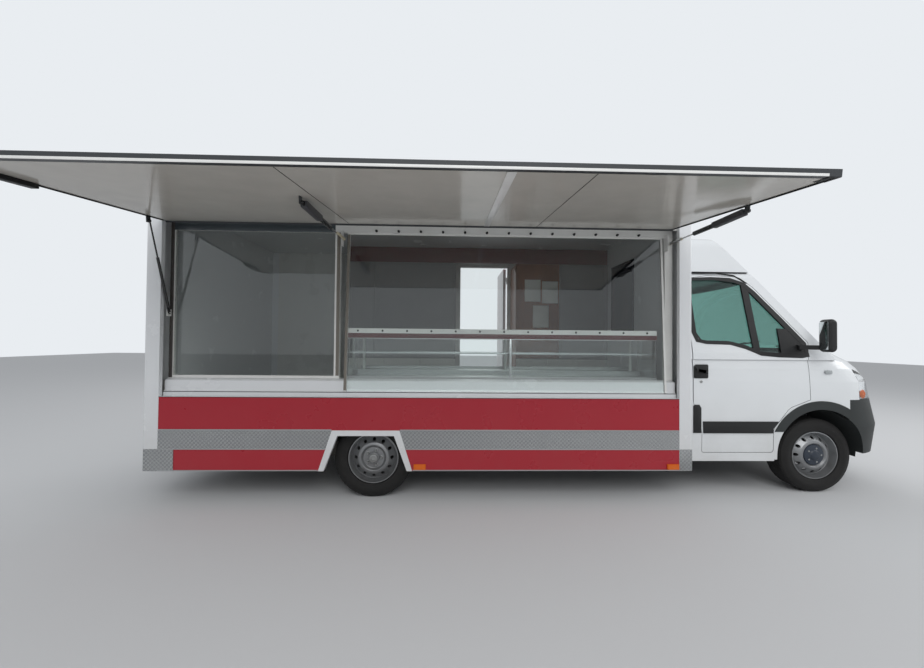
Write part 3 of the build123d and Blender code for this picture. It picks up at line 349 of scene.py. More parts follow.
@dataclass(frozen=True)
class WoodDecor(Finish):
    """Foil-laminated board with long upright grain."""

    dark: str = "#5E3320"
    grain_mm: float = 22.0

    def dress(self, tree: Tree, shader: Node) -> None:
        """Add the printed grain.

        Args:
            tree: the material's node tree.
            shader: its main shader.
        """
        place = add_node(tree, "TexCoord").outputs["Object"]
        drawn = add_node(tree, "Mapping", {"Scale": (1.0, 1.0, 0.08), "Vector": place})
        grain = add_node(tree, "TexNoise", {"Scale": per_mm(self.grain_mm), "Detail": 8.0, "Roughness": 0.6,
                                            "Vector": drawn})
        colour = add_node(tree, "Mix", {0: grain, 6: linear(self.dark), 7: linear(self.colour)}, data_type="RGBA")
        tree.links.new(colour.outputs[2], shader.inputs["Base Color"])


@dataclass(frozen=True)
class SheetGlass(Finish):
    """Float or safety glass; lamps shine through it so that what is behind stays lit."""

    tint: str = "#F2F6F5"

    def dress(self, tree: Tree, shader: Node) -> None:
        """Make the shader transmit, and let shadow rays pass.

        Args:
            tree: the material's node tree.
            shader: its main shader.
        """
        shader.inputs["Transmission Weight"].default_value = 1.0
        shader.inputs["IOR"].default_value = 1.52
        clear = add_node(tree, "BsdfTransparent", {"Color": linear(self.tint)})
        shadow = add_node(tree, "LightPath").outputs["Is Shadow Ray"]
        mixed = add_node(tree, "MixShader", {0: shadow, 1: shader, 2: clear})
        tree.links.new(mixed.outputs[0], tree.nodes["Material Output"].inputs["Surface"])


@dataclass(frozen=True)
class TyreRubber(Finish):
    """Carbon-black rubber with tread blocks, greyed by dust on the shoulder."""

    centre: Triple = (0.0, 0.0, 0.34)
    tread_radius: float = 0.328
    cuts: float = 72.0
    groove_mm: float = 38.0
    ring_mm: float = 13.0
    dust: str = "#1D1B1A"
    dust_mm: float = 60.0

    def dress(self, tree: Tree, shader: Node) -> None:
        """Add grooves round the tread, cuts across it and faint rings on the sidewall.

        Args:
            tree: the material's node tree.
            shader: its main shader.
        """
        place = add_node(tree, "TexCoord").outputs["Object"]
        hub = tuple(-value for value in self.centre)
        parts = add_node(tree, "SeparateXYZ",
                         {"Vector": add_node(tree, "Mapping", {"Location": hub, "Vector": place})}).outputs
        flat = add_node(tree, "CombineXYZ", {"X": parts["X"], "Z": parts["Z"]})
        radius = add_node(tree, "VectorMath", {0: flat}, operation="LENGTH").outputs["Value"]
        turn = add_node(tree, "Math", {0: parts["X"], 1: parts["Z"]}, operation="ARCTAN2")
        waves = []
        for source, rate in ((parts["Y"], 2 * math.pi * per_mm(self.groove_mm)), (turn, self.cuts),
                             (radius, 2 * math.pi * per_mm(self.ring_mm))):
            phase = add_node(tree, "Math", {0: source, 1: rate}, operation="MULTIPLY")
            waves.append(add_node(tree, "Math", {0: phase}, operation="SINE"))
        lands = [add_node(tree, "MapRange", {"From Min": floor - 0.15, "From Max": floor + 0.15, "Value": wave})
                 for wave, floor in ((waves[0], -0.8), (waves[1], -0.75))]
        blocks = add_node(tree, "Math", {0: lands[0], 1: lands[1]}, operation="MINIMUM")
        on_tread = add_node(tree, "Math", {0: radius, 1: self.tread_radius}, operation="GREATER_THAN")
        faint = add_node(tree, "MapRange", {"From Min": 0.7, "To Max": 0.12, "Value": waves[2]})
        height = add_node(tree, "Mix", {0: on_tread, 2: faint, 3: blocks}, data_type="FLOAT")
        self.emboss(tree, shader, height, 4.0, 0.9)
        dust = add_node(tree, "TexNoise", {"Scale": per_mm(self.dust_mm), "Detail": 6.0, "Vector": place})
        colour = add_node(tree, "Mix", {0: dust, 6: linear(self.colour), 7: linear(self.dust)}, data_type="RGBA")
        tree.links.new(colour.outputs[2], shader.inputs["Base Color"])


@dataclass(frozen=True)
class WovenFabric(Finish):
    """Flat-woven seat cloth: threads cross every few millimetres."""

    thread_mm: float = 4.0

    def dress(self, tree: Tree, shader: Node) -> None:
        """Add the weave as two crossing waves, drawn coarse so that it shows.

        Args:
            tree: the material's node tree.
            shader: its main shader.
        """
        place = add_node(tree, "TexCoord").outputs["Object"]
        waves = [add_node(tree, "TexWave", {"Scale": per_mm(self.thread_mm) / 20, "Distortion": 0.6, "Vector": place},
                          bands_direction=direction).outputs["Fac"] for direction in ("Y", "Z")]
        weave = add_node(tree, "Math", {0: waves[0], 1: waves[1]}, operation="MULTIPLY")
        self.emboss(tree, shader, weave, 1.0, 0.7)
        shader.inputs["Sheen Weight"].default_value = 0.3


CAB_MIDDLE = tuple(at(-650, 0, 1180))
NOSE_MIDDLE = tuple(at(150, 0, 720))
ROOM_MIDDLE = tuple(at(-3600, 0, 1500))
REAR_AXLE_HIGH = tuple(at(-4078, 0, 5000))
FLAP_ABOVE = tuple(at(-3650, -1800, 9000))

# Two-pack acrylic on glass-fibre panels: gloss white, dusty towards the skirt
BODY_WHITE = CoachPaint("acrylic_white_body", "#E2E4E6", 0.25, coat=0.15)
# Factory enamel on pressed steel, with moulded trim on its inner faces
CAB_WHITE = CoachPaint("enamel_white_cab", "#E4E7E9", 0.2, coat=0.3, lining=Lining("#33363A", CAB_MIDDLE))
# The same enamel over black sealer
NOSE_WHITE = CoachPaint("enamel_white_nose", "#E4E7E9", 0.2, coat=0.3, lining=Lining("#151617", NOSE_MIDDLE))
# Traffic red acrylic outside, white lining panels inside
BODY_RED = CoachPaint("acrylic_red_panel", "#A60F26", 0.28, dust_and_shade_most=0.12,
                      lining=Lining("#DADAD7", ROOM_MIDDLE, (0.0, 1.0, 0.0)))
# Powder-coated aluminium section: satin, with a fine orange peel
FRAME_WHITE = MouldedPlastic("powder_coat_white", "#E4E4E1", 0.35, grain_mm=6, depth_mm=0.05)
# The flap's rim is grey; its dark tone is painted shade
FLAP_RIM_SHADED_GREY = MouldedPlastic("powder_coat_grey_with_painted_shade", "#3A3D40", 0.4, grain_mm=6, depth_mm=0.05)
# Gel-coated glass-fibre: off-white inside, glossy enough to mirror the ground, and white outside
FLAP_LINING = MouldedPlastic("gel_coat_off_white", "#CFCBC2", 0.12, grain_mm=60, depth_mm=0.25,
                             lining=Lining("#E2E4E6", FLAP_ABOVE, (0.0, 0.0, 1.0)))
# Rolled tread plate, mill finish: bars catch the light, with a painted highlight on them and painted shade between
# them
TREAD_PLATE = TreadPlate("aluminium_tread_plate", "#C9CBCC", 0.34, metallic=0.9)
# Drawn sections and sheet: faint lines along them
ANODISED = RolledMetal("anodised_aluminium", "#B9BBBC", 0.3, metallic=1.0)
STAINLESS = RolledMetal("brushed_stainless_steel", "#A9AAA9", 0.28, metallic=1.0)
CHROME = Finish("hard_chrome", "#D8D8D8", 0.08, metallic=1.0)
# Wheel silver over steel, dulled by brake dust and darkened towards the bottom by painted shade
WHEEL_SILVER = CoachPaint("wheel_silver_paint", "#A2A4A6", 0.38, metallic=0.7, dust="#3A3530", dust_and_shade_top=0.7,
                          dust_and_shade_most=0.75)
# Moulded caps and trims, matt with a fine grain
# The front caps are dark plastic; their deeper blue-grey tone is painted shade
CAP_DARK_AND_SHADED = MouldedPlastic("abs_dark_cap_with_painted_shade", "#2C3440", 0.4)
BUMPER_GREY = MouldedPlastic("polypropylene_dark_grey", "#2A2E2E", 0.6, grain_mm=4)
TRIM_BLACK = MouldedPlastic("polypropylene_black", "#121314", 0.5, grain_mm=4)
SEAL_BLACK = MouldedPlastic("epdm_rubber", "#0E0E0F", 0.7, grain_mm=5)
DASH_GREY = MouldedPlastic("pvc_skin_dark_grey", "#26282B", 0.6, grain_mm=5)
ARM_GREY = MouldedPlastic("nylon_dark_grey", "#4A4B4E", 0.45, grain_mm=8, depth_mm=0.08)
CREAM = MouldedPlastic("nylon_cream", "#D8CDB0", 0.45, grain_mm=8, depth_mm=0.05)
# Brushed chassis paint under dust, and enamel on the gas struts
CHASSIS_BLACK = CoachPaint("chassis_black_paint", "#161616", 0.5, dust_and_shade_top=0.9, dust_and_shade_most=0.6)
GLOSS_BLACK = Finish("stove_enamel_black", "#0B0B0C", 0.2, coat=0.3)
IRON = CoachPaint("cast_iron", "#3B3A38", 0.6, metallic=0.6, dust_and_shade_top=1.4)
# Melamine-faced board and smooth profiles: nearly flat, satin
COUNTER_WHITE = MouldedPlastic("melamine_white", "#DAD9D4", 0.35, grain_mm=12, depth_mm=0.04)
CUPBOARD_GREY = MouldedPlastic("melamine_grey", "#8B8A8C", 0.4, grain_mm=12, depth_mm=0.04)
PELMET_RED = MouldedPlastic("melamine_red_brown", "#5B1F22", 0.35, grain_mm=12, depth_mm=0.04)
RAIL_WHITE = MouldedPlastic("pvc_gloss_white", "#EDEDEA", 0.25, grain_mm=20, depth_mm=0.03)
BOARD_DARK = MouldedPlastic("pinboard_dark_blue", "#1D2430", 0.7, grain_mm=5)
WOOD = WoodDecor("beech_decor_foil", "#9A5F3B", 0.4)
# Vinyl on the room's side of the floor, black underseal below and in the wheel boxes
FLOOR_VINYL = MouldedPlastic("underseal_and_vinyl", "#141414", 0.6, grain_mm=6, depth_mm=0.2,
                             lining=Lining("#6B6C6B", REAR_AXLE_HIGH, (-1.0, 1.0, 1.0)))
# Tinted panel over the rear pane, as dark and glossy as the pane itself
DARK_PANEL = MouldedPlastic("acrylic_smoke_grey", "#454C50", 0.1, grain_mm=60, depth_mm=0.05)
# Anodised sections beside the panes, grey with painted shade
JAMB_PAINTED_SHADE = MouldedPlastic("anodised_jamb_painted_shade", "#77726A", 0.5, grain_mm=6, depth_mm=0.05)
STILE_BROWN = MouldedPlastic("anodised_bronze_stile", "#4A4644", 0.4, grain_mm=6, depth_mm=0.05)
# Clear and green-tinted glass, and the silvered mirror
CLEAR_GLASS = SheetGlass("float_glass", "#F4F8F7", 0.02)
CAB_GLASS = SheetGlass("tinted_safety_glass", "#A4C6BF", 0.02, tint="#A9CDC5")
MIRROR = Finish("silvered_glass", "#D5DADB", 0.03, metallic=1.0)
# Lamp lenses: glossy, with moulded ribs
LENS_CLEAR = SheetGlass("polycarbonate_clear", "#F3F5F6", 0.04)
LENS_SMOKE = MouldedPlastic("acrylic_clear_ribbed", "#A9AEB0", 0.15, grain_mm=8, depth_mm=0.3)
LENS_AMBER = MouldedPlastic("acrylic_amber", "#D8660F", 0.2, grain_mm=8, depth_mm=0.3)
LENS_RED = MouldedPlastic("acrylic_red", "#8E0F14", 0.2, grain_mm=8, depth_mm=0.3)
# Matt woven polyester
SEAT_CLOTH = WovenFabric("woven_polyester", "#2B3038", 0.9)

NODES_OF_FINISH = (
    (BODY_WHITE, "arch_frames corner_posts end_walls entry_door roof_panel sales_sill"),
    (BODY_RED, "side_wall_left side_wall_right"), (FLOOR_VINYL, "body_floor"), (TREAD_PLATE, "tread_plates"),
    (CAB_WHITE, "cab_shell cab_door_left cab_door_right roof_fairing"), (NOSE_WHITE, "bonnet front_wings"),
    (BUMPER_GREY, "arch_trims front_bumper grille"), (TRIM_BLACK, "door_trim_left door_trim_right"),
    (DASH_GREY, "cab_pan dashboard"), (SEAT_CLOTH, "cab_seats"), (FLAP_RIM_SHADED_GREY, "flap_frame"),
    (FLAP_LINING, "flap_panel"), (FRAME_WHITE, "hatch_frame"), (COUNTER_WHITE, "counter_base"),
    (CUPBOARD_GREY, "wall_units"), (RAIL_WHITE, "display_canopy display_rail"), (STAINLESS, "display_tray"),
    (CLEAR_GLASS, "display_glass hatch_glass"), (CAB_GLASS, "windscreen door_glass_left door_glass_right"),
    (LENS_CLEAR, "headlamps"), (LENS_RED, "rear_lamps"), (IRON, "engine_block knuckle_left knuckle_right"),
    (CHASSIS_BLACK, "frame_rails front_subframe rear_axle rear_bumper"),
    (CHROME, "strut_rod_front strut_rod_middle"),
    (GLOSS_BLACK, "strut_rod_rear strut_tube_front strut_tube_middle strut_tube_rear"),
)
FINISH_OF_NODE = {node: finish for finish, nodes in NODES_OF_FINISH for node in nodes.split()}


# Shaping, as done by hand on primitives


class Axis(Enum):
    """Direction in which a turned piece faces."""

    X = Matrix.Rotation(math.pi / 2, 4, "Y")
    Y = Matrix.Rotation(-math.pi / 2, 4, "X")
    Z = Matrix.Identity(4)
    RIGHT = Matrix.Rotation(math.pi / 2, 4, "X")

    @staticmethod
    def outwards(side: int) -> "Axis":
        """Axis that points away from the centreline on a side."""
        return Axis.RIGHT if side < 0 else Axis.Y


def deselect() -> None:
    """Leave nothing selected, so that an operator acts only on the new piece."""
    bpy.ops.object.select_all(action="DESELECT")


def settle(name: str) -> Piece:
    """Name the active object and move its place into its mesh.

    Args:
        name: the piece's name.

    Returns:
        The piece.
    """
    piece = bpy.context.active_object
    piece.name = name
    piece.data.name = name
    bpy.ops.object.transform_apply(location=True, rotation=True, scale=True)
    return piece


@contextmanager
def editing() -> Iterator[None]:
    """Stay in edit mode for a block that starts with the whole piece selected."""
    bpy.ops.object.mode_set(mode="EDIT")
    bpy.ops.mesh.select_all(action="SELECT")
    yield
    bpy.ops.object.mode_set(mode="OBJECT")


def extrude(way: Sequence[float]) -> None:
    """Extrude what is selected along a vector in metres."""
    bpy.ops.mesh.extrude_region_move(TRANSFORM_OT_translate={"value": way})


def face_outwards() -> None:
    """Select all and turn every normal outwards."""
    bpy.ops.mesh.select_all(action="SELECT")
    bpy.ops.mesh.normals_make_consistent(inside=False)


def pick_faces(piece: Piece, wanted: Callable[[bmesh.types.BMFace], bool]) -> None:
    """Select only the faces that pass a test.

    Args:
        piece: the object in edit mode.
        wanted: the test.
    """
    bpy.ops.mesh.select_mode(type="FACE")
    mesh = bmesh.from_edit_mesh(piece.data)
    for face in mesh.faces:
        face.select_set(wanted(face))
    mesh.select_flush_mode()
    bmesh.update_edit_mesh(piece.data)


def box_piece(name: str, low: Point, high: Point, edge: float = 1.5) -> Piece:
    """Make a bar or plate between two corners, with its edges broken.

    Args:
        name: the piece's name.
        low: one corner, in millimetres.
        high: the opposite corner.
        edge: width of the bevel, in millimetres.

    Returns:
        The piece.
    """
    first, last = at(*low), at(*high)
    deselect()
    size = [abs(last[i] - first[i]) for i in range(3)]
    bpy.ops.mesh.primitive_cube_add(size=1.0, location=(first + last) / 2, scale=size)
    piece = settle(name)
    with editing():
        bpy.ops.mesh.bevel(offset=min(edge * MM, min(size) * 0.45), segments=2, affect="EDGES")
    return piece


def framed_piece(name: str, low: Point, high: Point, facing: Point, border: float, depth: float) -> Piece:
    """Make a plate whose face is set back inside a border, such as a framed door.

    Args:
        name: the piece's name.
        low: one corner, in millimetres.
        high: the opposite corner.
        facing: outward direction of the framed face.
        border: width of the border.
        depth: how far the face is set back; negative stands proud.

    Returns:
        The piece.
    """
    piece = box_piece(name, low, high, 1.2)
    way = Vector(facing)
    sizes = [abs(high[i] - low[i]) * MM for i in range(3)]
    area = math.prod(size for size, part in zip(sizes, facing) if not part)
    with editing():
        pick_faces(piece, lambda face: face.normal.dot(way) > 0.99 and face.calc_area() > 0.5 * area)
        bpy.ops.mesh.inset(thickness=border * MM)
        extrude(-way * depth * MM)
    return piece


def turned_piece(name: str, centre: Point, axis: Axis, profile: Sequence[Pair],
                 steps: int = 32) -> Piece:
    """Make a turned piece by extruding a disc ring by ring.

    Args:
        name: the piece's name.
        centre: point on its axis where along is 0, in millimetres.
        axis: the way it faces.
        profile: radius and distance along the axis, from the back ring to the front ring.
        steps: number of sides.

    Returns:
        The piece.
    """
    deselect()
    radius, along = profile[0]
    bpy.ops.mesh.primitive_circle_add(vertices=steps, radius=radius * MM, fill_type="NGON",
                                      location=(0, 0, along * MM))
    piece = settle(name)
    with editing():
        for next_radius, next_along in profile[1:]:
            extrude((0, 0, (next_along - along) * MM))
            ratio = next_radius / radius
            bpy.ops.transform.resize(value=(ratio, ratio, 1), center_override=(0, 0, next_along * MM))
            radius, along = next_radius, next_along
        face_outwards()
    piece.data.transform(Matrix.Translation(at(*centre)) @ axis.value)
    return piece


def drawn_piece(name: str, points: Sequence[Point], width: Point) -> Piece:
    """Make a bar that follows points, by extruding its end face from one to the next.

    Args:
        name: the piece's name.
        points: the middle of the bar, in millimetres.
        width: its size along x, y and z at every point.

    Returns:
        The piece.
    """
    start = at(*points[0])
    first = at(*points[1]) - start
    lead = max(range(3), key=lambda i: abs(first[i]))
    deselect()
    size = [w * MM for w in width]
    size[lead] = START_THICK
    bpy.ops.mesh.primitive_cube_add(size=1.0, location=start, scale=size)
    piece = settle(name)
    way = Vector((0.0, 0.0, 0.0))
    way[lead] = math.copysign(1.0, first[lead])
    with editing():
        pick_faces(piece, lambda face: face.normal.dot(way) > 0.9)
        for before, after in zip(points, points[1:]):
            extrude(at(*after) - at(*before))
    return piece


def outline_piece(name: str, corners: Sequence[Pair], side: int, depth: Pair,
                  edge: float = 1.5) -> Piece:
    """Make a plate with an outline in x and z on one side of the vehicle.

    Args:
        name: the piece's name.
        corners: x and z of the corners, in millimetres.
        side: -1 for the serving side, 1 for the other.
        depth: distance of the back and the front from the centreline.
        edge: width of the bevel.

    Returns:
        The piece.
    """
    deselect()
    bpy.ops.mesh.primitive_circle_add(vertices=len(corners), radius=1.0, fill_type="NGON")
    piece = settle(name)
    for vertex, (x, z) in zip(piece.data.vertices, corners):
        vertex.co = at(x, side * depth[0], z)
    with editing():
        extrude((0, side * (depth[1] - depth[0]) * MM, 0))
        face_outwards()
        bpy.ops.mesh.bevel(offset=edge * MM, segments=2, affect="EDGES")
    return piece


def copies(piece: Piece, count: int, pitch: float) -> list[Piece]:
    """Repeat a piece forwards, each copy with a mesh of its own.

    Args:
        piece: the first one.
        count: how many there are with it.
        pitch: distance from one to the next, in millimetres.

    Returns:
        All of them.
    """
    row = [piece]
    for index in range(1, count):
        twin = piece.copy()
        twin.data = piece.data.copy()
        twin.data.transform(Matrix.Translation((index * pitch * MM, 0, 0)))
        bpy.context.scene.collection.objects.link(twin)
        row.append(twin)
    return row


def joined(name: str, pieces: Sequence[Piece]) -> Piece:
    """Join pieces into one mesh.

    Args:
        name: the whole piece's name.
        pieces: its parts, one or more.

    Returns:
        The whole piece.
    """
    deselect()
    for piece in pieces:
        piece.select_set(True)
    bpy.context.view_layer.objects.active = pieces[0]
    if len(pieces) > 1:
        bpy.ops.object.join()
    whole = bpy.context.active_object
    whole.name = name
    whole.data.name = name
    return whole


def fit(piece: Piece, finish: Finish, body: str = "vehicle") -> Piece:
    """Give a piece its finish and its body, and report it.

    Args:
        piece: the finished mesh.
        finish: what its surface is.
        body: the CAD body it moves with.

    Returns:
        The same piece.
    """
    piece.data.materials.clear()
    piece.data.materials.append(finish.material())
    deselect()
    piece.select_set(True)
    bpy.context.view_layer.objects.active = piece
    bpy.ops.object.shade_smooth_by_angle(angle=SMOOTH_ANGLE)
    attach(piece, body)
    LOG.info("%s: %d faces, %s, on %s", piece.name, len(piece.data.polygons), finish.name, body)
    return piece


# Sub-assemblies


@dataclass
class CadDress:
    """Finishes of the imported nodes."""

    rubber: str = "#0D0D0D"
    rubber_roughness: float = 0.8

    def build(self) -> None:
        """Give every node its material."""
        for name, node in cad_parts.items():
            node.data.materials.clear()
            node.data.materials.append(self.finish_for(name).material())

    def finish_for(self, name: str) -> Finish:
        """Choose a node's finish.

        Args:
            name: the node's name.

        Returns:
            Its finish.
        """
        if name.startswith("rim_"):
            return WHEEL_SILVER
        if name.startswith("tyre_"):
            centre = tuple(middle_of(name, axis) for axis in range(3))
            return TyreRubber("rubber_" + name, self.rubber, self.rubber_roughness, centre=centre)
        return FINISH_OF_NODE[name]


class CapStyle(Enum):
    """Turned profiles of the wheel centres: bright steel behind, a dark cap in front."""

    BRIGHT = ((40, -16), (40, 2), (34, 8), (22, 10), (18, 4), (6, 3))
    DARK = ((96, -34), (98, -20), (92, -10), (70, -4), (50, -1), (44, 5), (38, 9), (8, 11))


@dataclass
class WheelCentre:
    """Nuts and centre cap of one wheel."""

    place: str
    side: int
    style: CapStyle
    nut_circle: float = 65.0
    nut_count: int = 5
    nut_radius: float = 12.0
    nut_inset: float = 27.0
    first_nut: float = 0.3

    def build(self) -> None:
        """Make the pieces on the outer side of the wheel."""
        low, high = span_of("rim_" + self.place)
        x, z = (low.x + high.x) / 2, (low.z + high.z) / 2
        face = abs(low.y if self.side < 0 else high.y)
        axis = Axis.outwards(self.side)
        body = "wheel_" + self.place
        hexagon = [(self.nut_radius + 3, 0), (self.nut_radius + 3, 3), (self.nut_radius, 4), (self.nut_radius, 20),
                   (self.nut_radius - 4, 25)]
        nuts = []
        for index in range(self.nut_count):
            angle = 2 * math.pi * index / self.nut_count + self.first_nut
            centre = (x + self.nut_circle * math.sin(angle), self.side * (face - self.nut_inset),
                      z + self.nut_circle * math.cos(angle))
            nuts.append(turned_piece("nut", centre, axis, hexagon, 6))
        fit(joined(f"wheel_nuts_{self.place}", nuts), STAINLESS, body)
        bright = self.style is CapStyle.BRIGHT
        cap = turned_piece(f"hub_cap_{self.place}", (x, self.side * face, z), axis, self.style.value,
                           36 if bright else 48)
        fit(cap, STAINLESS if bright else CAP_DARK_AND_SHADED, body)


@dataclass
class BoxBody:
    """Lamps and joint strips on the outside of the box body."""

    half: float = 1120.0
    marker_x: tuple[Pair, ...] = ((-3714, -3611), (-1515, -1412))
    marker_z: Pair = (275, 322)
    corner_x: Pair = (-1404.0, -1293.0)
    corner_z: Pair = (266.0, 449.0)
    plate: tuple[Triple, Triple] = ((-5993.0, -260.0, 480.0), (-5984.0, 260.0, 592.0))
    strip_x: Pair = (-5859.0, -1405.0)
    strip_z: tuple[float, ...] = (264.0, 444.0, 606.0)
    strip_wide: float = 9.0
    arch_lean: float = 112.0 / 344.0
    doorway_x: Pair = (-3281.0, -2538.0)
    doorway_z: float = 460.0

    def build(self) -> None:
        """Make the side marker lamps, the joint strips, the corner plates and the rear plate."""
        for label, side in SIDES:
            lamps = [framed_piece("marker", (start, side * (self.half - 4), self.marker_z[0]),
                                  (end, side * (self.half + 10), self.marker_z[1]), (0, side, 0), 5, -3)
                     for start, end in self.marker_x]
            fit(joined(f"side_markers_{label}", lamps), LENS_AMBER)
            strips = [box_piece("strip", (start, side * (self.half - 3), z),
                                (end, side * (self.half + 1.5), z + self.strip_wide), 0.6)
                      for z, spans in self.strip_spans(side) for start, end in spans]
            fit(joined(f"band_strips_{label}", strips), ANODISED)
            corner = box_piece(f"corner_plate_{label}", (self.corner_x[0], side * (self.half - 1), self.corner_z[0]),
                               (self.corner_x[1], side * (self.half + 1.2), self.corner_z[1]), 1)
            fit(corner, TREAD_PLATE)
        fit(framed_piece("rear_plate", *self.plate, (-1, 0, 0), 4, 1), RAIL_WHITE)

    def strip_spans(self, side: int) -> list[tuple[float, list[Pair]]]:
        """Work out where the joint strips run beside the wheel arch and the doorway.

        Args:
            side: -1 for the serving side, 1 for the other.

        Returns:
            The height of each strip, with the ends of its runs.
        """
        low, high = span_of("arch_frames")
        middle = (low.x + high.x) / 2
        rows = []
        for z in self.strip_z:
            half = (high.x - low.x) / 2 - (z - low.z) * self.arch_lean + 4
            runs = [(self.strip_x[0], middle - half), (middle + half, self.strip_x[1])]
            if side > 0 and z > self.doorway_z:
                runs = [runs[0], (middle + half, self.doorway_x[0]), (self.doorway_x[1], self.strip_x[1])]
            rows.append((z, runs))
        return rows


@dataclass
class ServingSide:
    """Hooks, display lines and gaskets of the serving side."""

    fitting_count: int = 13
    hook_first: Triple = (-4075.0, -1010.0, 2346.0)
    hook_pitch: float = 196.5
    rail_front: float = -957.0
    display: Pair = (-4330.0, -1520.0)
    display_middle: float = -2865.0
    stud_margin: float = 90.0
    # Margin from the display's ends, outer and inner y, bottom and top
    edges: tuple[tuple[float, ...], ...] = (
        (0, -957, -949, 1051, 1057), (0, -957, -949, 1392, 1398), (10, -902, -894, 1258, 1272),
        (10, -664, -656, 1258, 1272), (10, -702, -694, 1088, 1096))
    pane_y: Pair = (-1012.5, -1009.0)
    # Foot of the stile, foot of the jamb, head and top of the rear pane
    pane_z: tuple[float, ...] = (1040.0, 1062.0, 2328.0, 2400.0)
    mullion_gap: float = 60.0
    # Foot and head of the jamb beside the leaning pane, in y and z
    lean: tuple[Pair, Pair] = ((-1072.6, 942.0), (-996.6, 2316.0))

    def build(self) -> None:
        """Make the fittings in order."""
        self.hooks()
        self.rail_studs()
        self.display_lines()
        self.sill_lines()
        self.rear_pane()

    def hooks(self) -> None:
        """Black hooks in the white rail over the window."""
        base = turned_piece("hook", self.hook_first, Axis.RIGHT,
                            [(11, -2), (11, 5), (7, 8), (5, 18), (8, 22), (4, 25)], 16)
        fit(joined("rail_hooks", copies(base, self.fitting_count, self.hook_pitch)), TRIM_BLACK)

    def rail_studs(self) -> None:
        """Black studs along the white display rail, and the red-brown strip under it."""
        start, end = self.display
        pitch = (end - start - 2 * self.stud_margin) / (self.fitting_count - 1)
        base = turned_piece("stud", (start + self.stud_margin, self.rail_front, 1463), Axis.RIGHT,
                            [(9, -3), (9, 4), (6, 7), (2, 8)], 16)
        fit(joined("display_rail_studs", copies(base, self.fitting_count, pitch)), TRIM_BLACK)
        strip = box_piece("display_fascia_strip", (start, -958, 1399), (end, -954, 1441), 1)
        fit(strip, PELMET_RED)

    def display_lines(self) -> None:
        """Aluminium edges of the display glass, its clamp and the light strip inside."""
        start, end = self.display
        lines = [box_piece("edge", (start + margin, outer, low), (end - margin, inner, high), 0.8)
                 for margin, outer, inner, low, high in self.edges]
        middle = self.display_middle
        lines.append(box_piece("clamp", (middle - 10, -962, 1051), (middle + 10, -944, 1398), 1.5))
        fit(joined("display_edges", lines), ANODISED)
        light = box_piece("display_light", (start + 80, -900, 1412), (end - 80, -850, 1430), 4)
        fit(light, RAIL_WHITE)

    def sill_lines(self) -> None:
        """Dark sealing lines above and below the sill."""
        low, high = span_of("sales_sill")
        lines = [box_piece("line", (low.x, -1119.5, 884), (high.x, -1071, 888), 0.6),
                 box_piece("line", (low.x, -1071.5, 922), (high.x, -1060, 927), 0.6)]
        fit(joined("sill_seals", lines), SEAL_BLACK)

    def rear_pane(self) -> None:
        """Dark panel over the rear pane, its bronze stile and the grey jambs of painted shade beside the leaning
        pane.
        """
        rear = span_of("hatch_frame")[0].x
        front = self.display[0]
        mullion = front - self.mullion_gap
        outer, inner = self.pane_y
        foot, sill, head_z, top = self.pane_z
        head = box_piece("rear_pane_head", (rear + 32, outer, head_z), (mullion - 46, inner, top), 0.8)
        fit(head, DARK_PANEL)
        stile = box_piece("rear_stile_cover", (rear + 1, outer, foot), (rear + 31, inner, top), 0.8)
        fit(stile, STILE_BROWN)
        # Grey strips laid over the frame's edges: painted shade
        jambs = [box_piece("jamb", (mullion - 30, outer + 0.5, sill), (mullion - 1, inner, head_z), 0.8),
                 drawn_piece("jamb", [(front + 10, y, z) for y, z in self.lean], (23, 3, 3))]
        fit(joined("window_jambs", jambs), JAMB_PAINTED_SHADE)


@dataclass
class StrutDress:
    """Dark cover and cream arm of the two struts under the open flap."""

    places: tuple[tuple[str, float], ...] = (("middle", -4356.0), ("front", -1462.0))
    foot_y: float = -1973.4
    foot_z: float = 2250.8
    head_y: float = -1046.0
    head_z: float = 2262.0

    def level(self, share: float) -> float:
        """Height of the strut's line at a share of its length from the foot."""
        return self.foot_z + share * (self.head_z - self.foot_z)

    def build(self) -> None:
        """Dress both struts."""
        limit = at(0, self.foot_y + 250, 0).y
        for name, x in self.places:
            cover = box_piece(f"strut_cover_{name}", (x - 24, self.foot_y + 30, self.level(0.2) - 21),
                              (x + 20, self.foot_y + 330, self.level(0.2) + 21), 4)
            with editing():
                pick_faces(cover, lambda face: face.calc_center_median().y > limit and face.normal.y > 0.9)
                bpy.ops.transform.resize(value=(0.86, 1, 0.92))
            fit(cover, ARM_GREY, "strut_tube_" + name)
            arm = box_piece(f"strut_arm_{name}", (x - 5, self.head_y - 200, self.level(0.9) - 11),
                            (x + 14, self.head_y - 16, self.level(0.9) + 11), 5)
            boss = turned_piece("boss", (x - 4, self.head_y - 3, self.head_z), Axis.X,
                                [(11, 0), (13, 2), (13, 15), (11, 18), (6, 18), (5, 15), (2, 15)], 28)
            fit(joined(f"strut_arm_{name}", [arm, boss]), CREAM, "strut_rod_" + name)


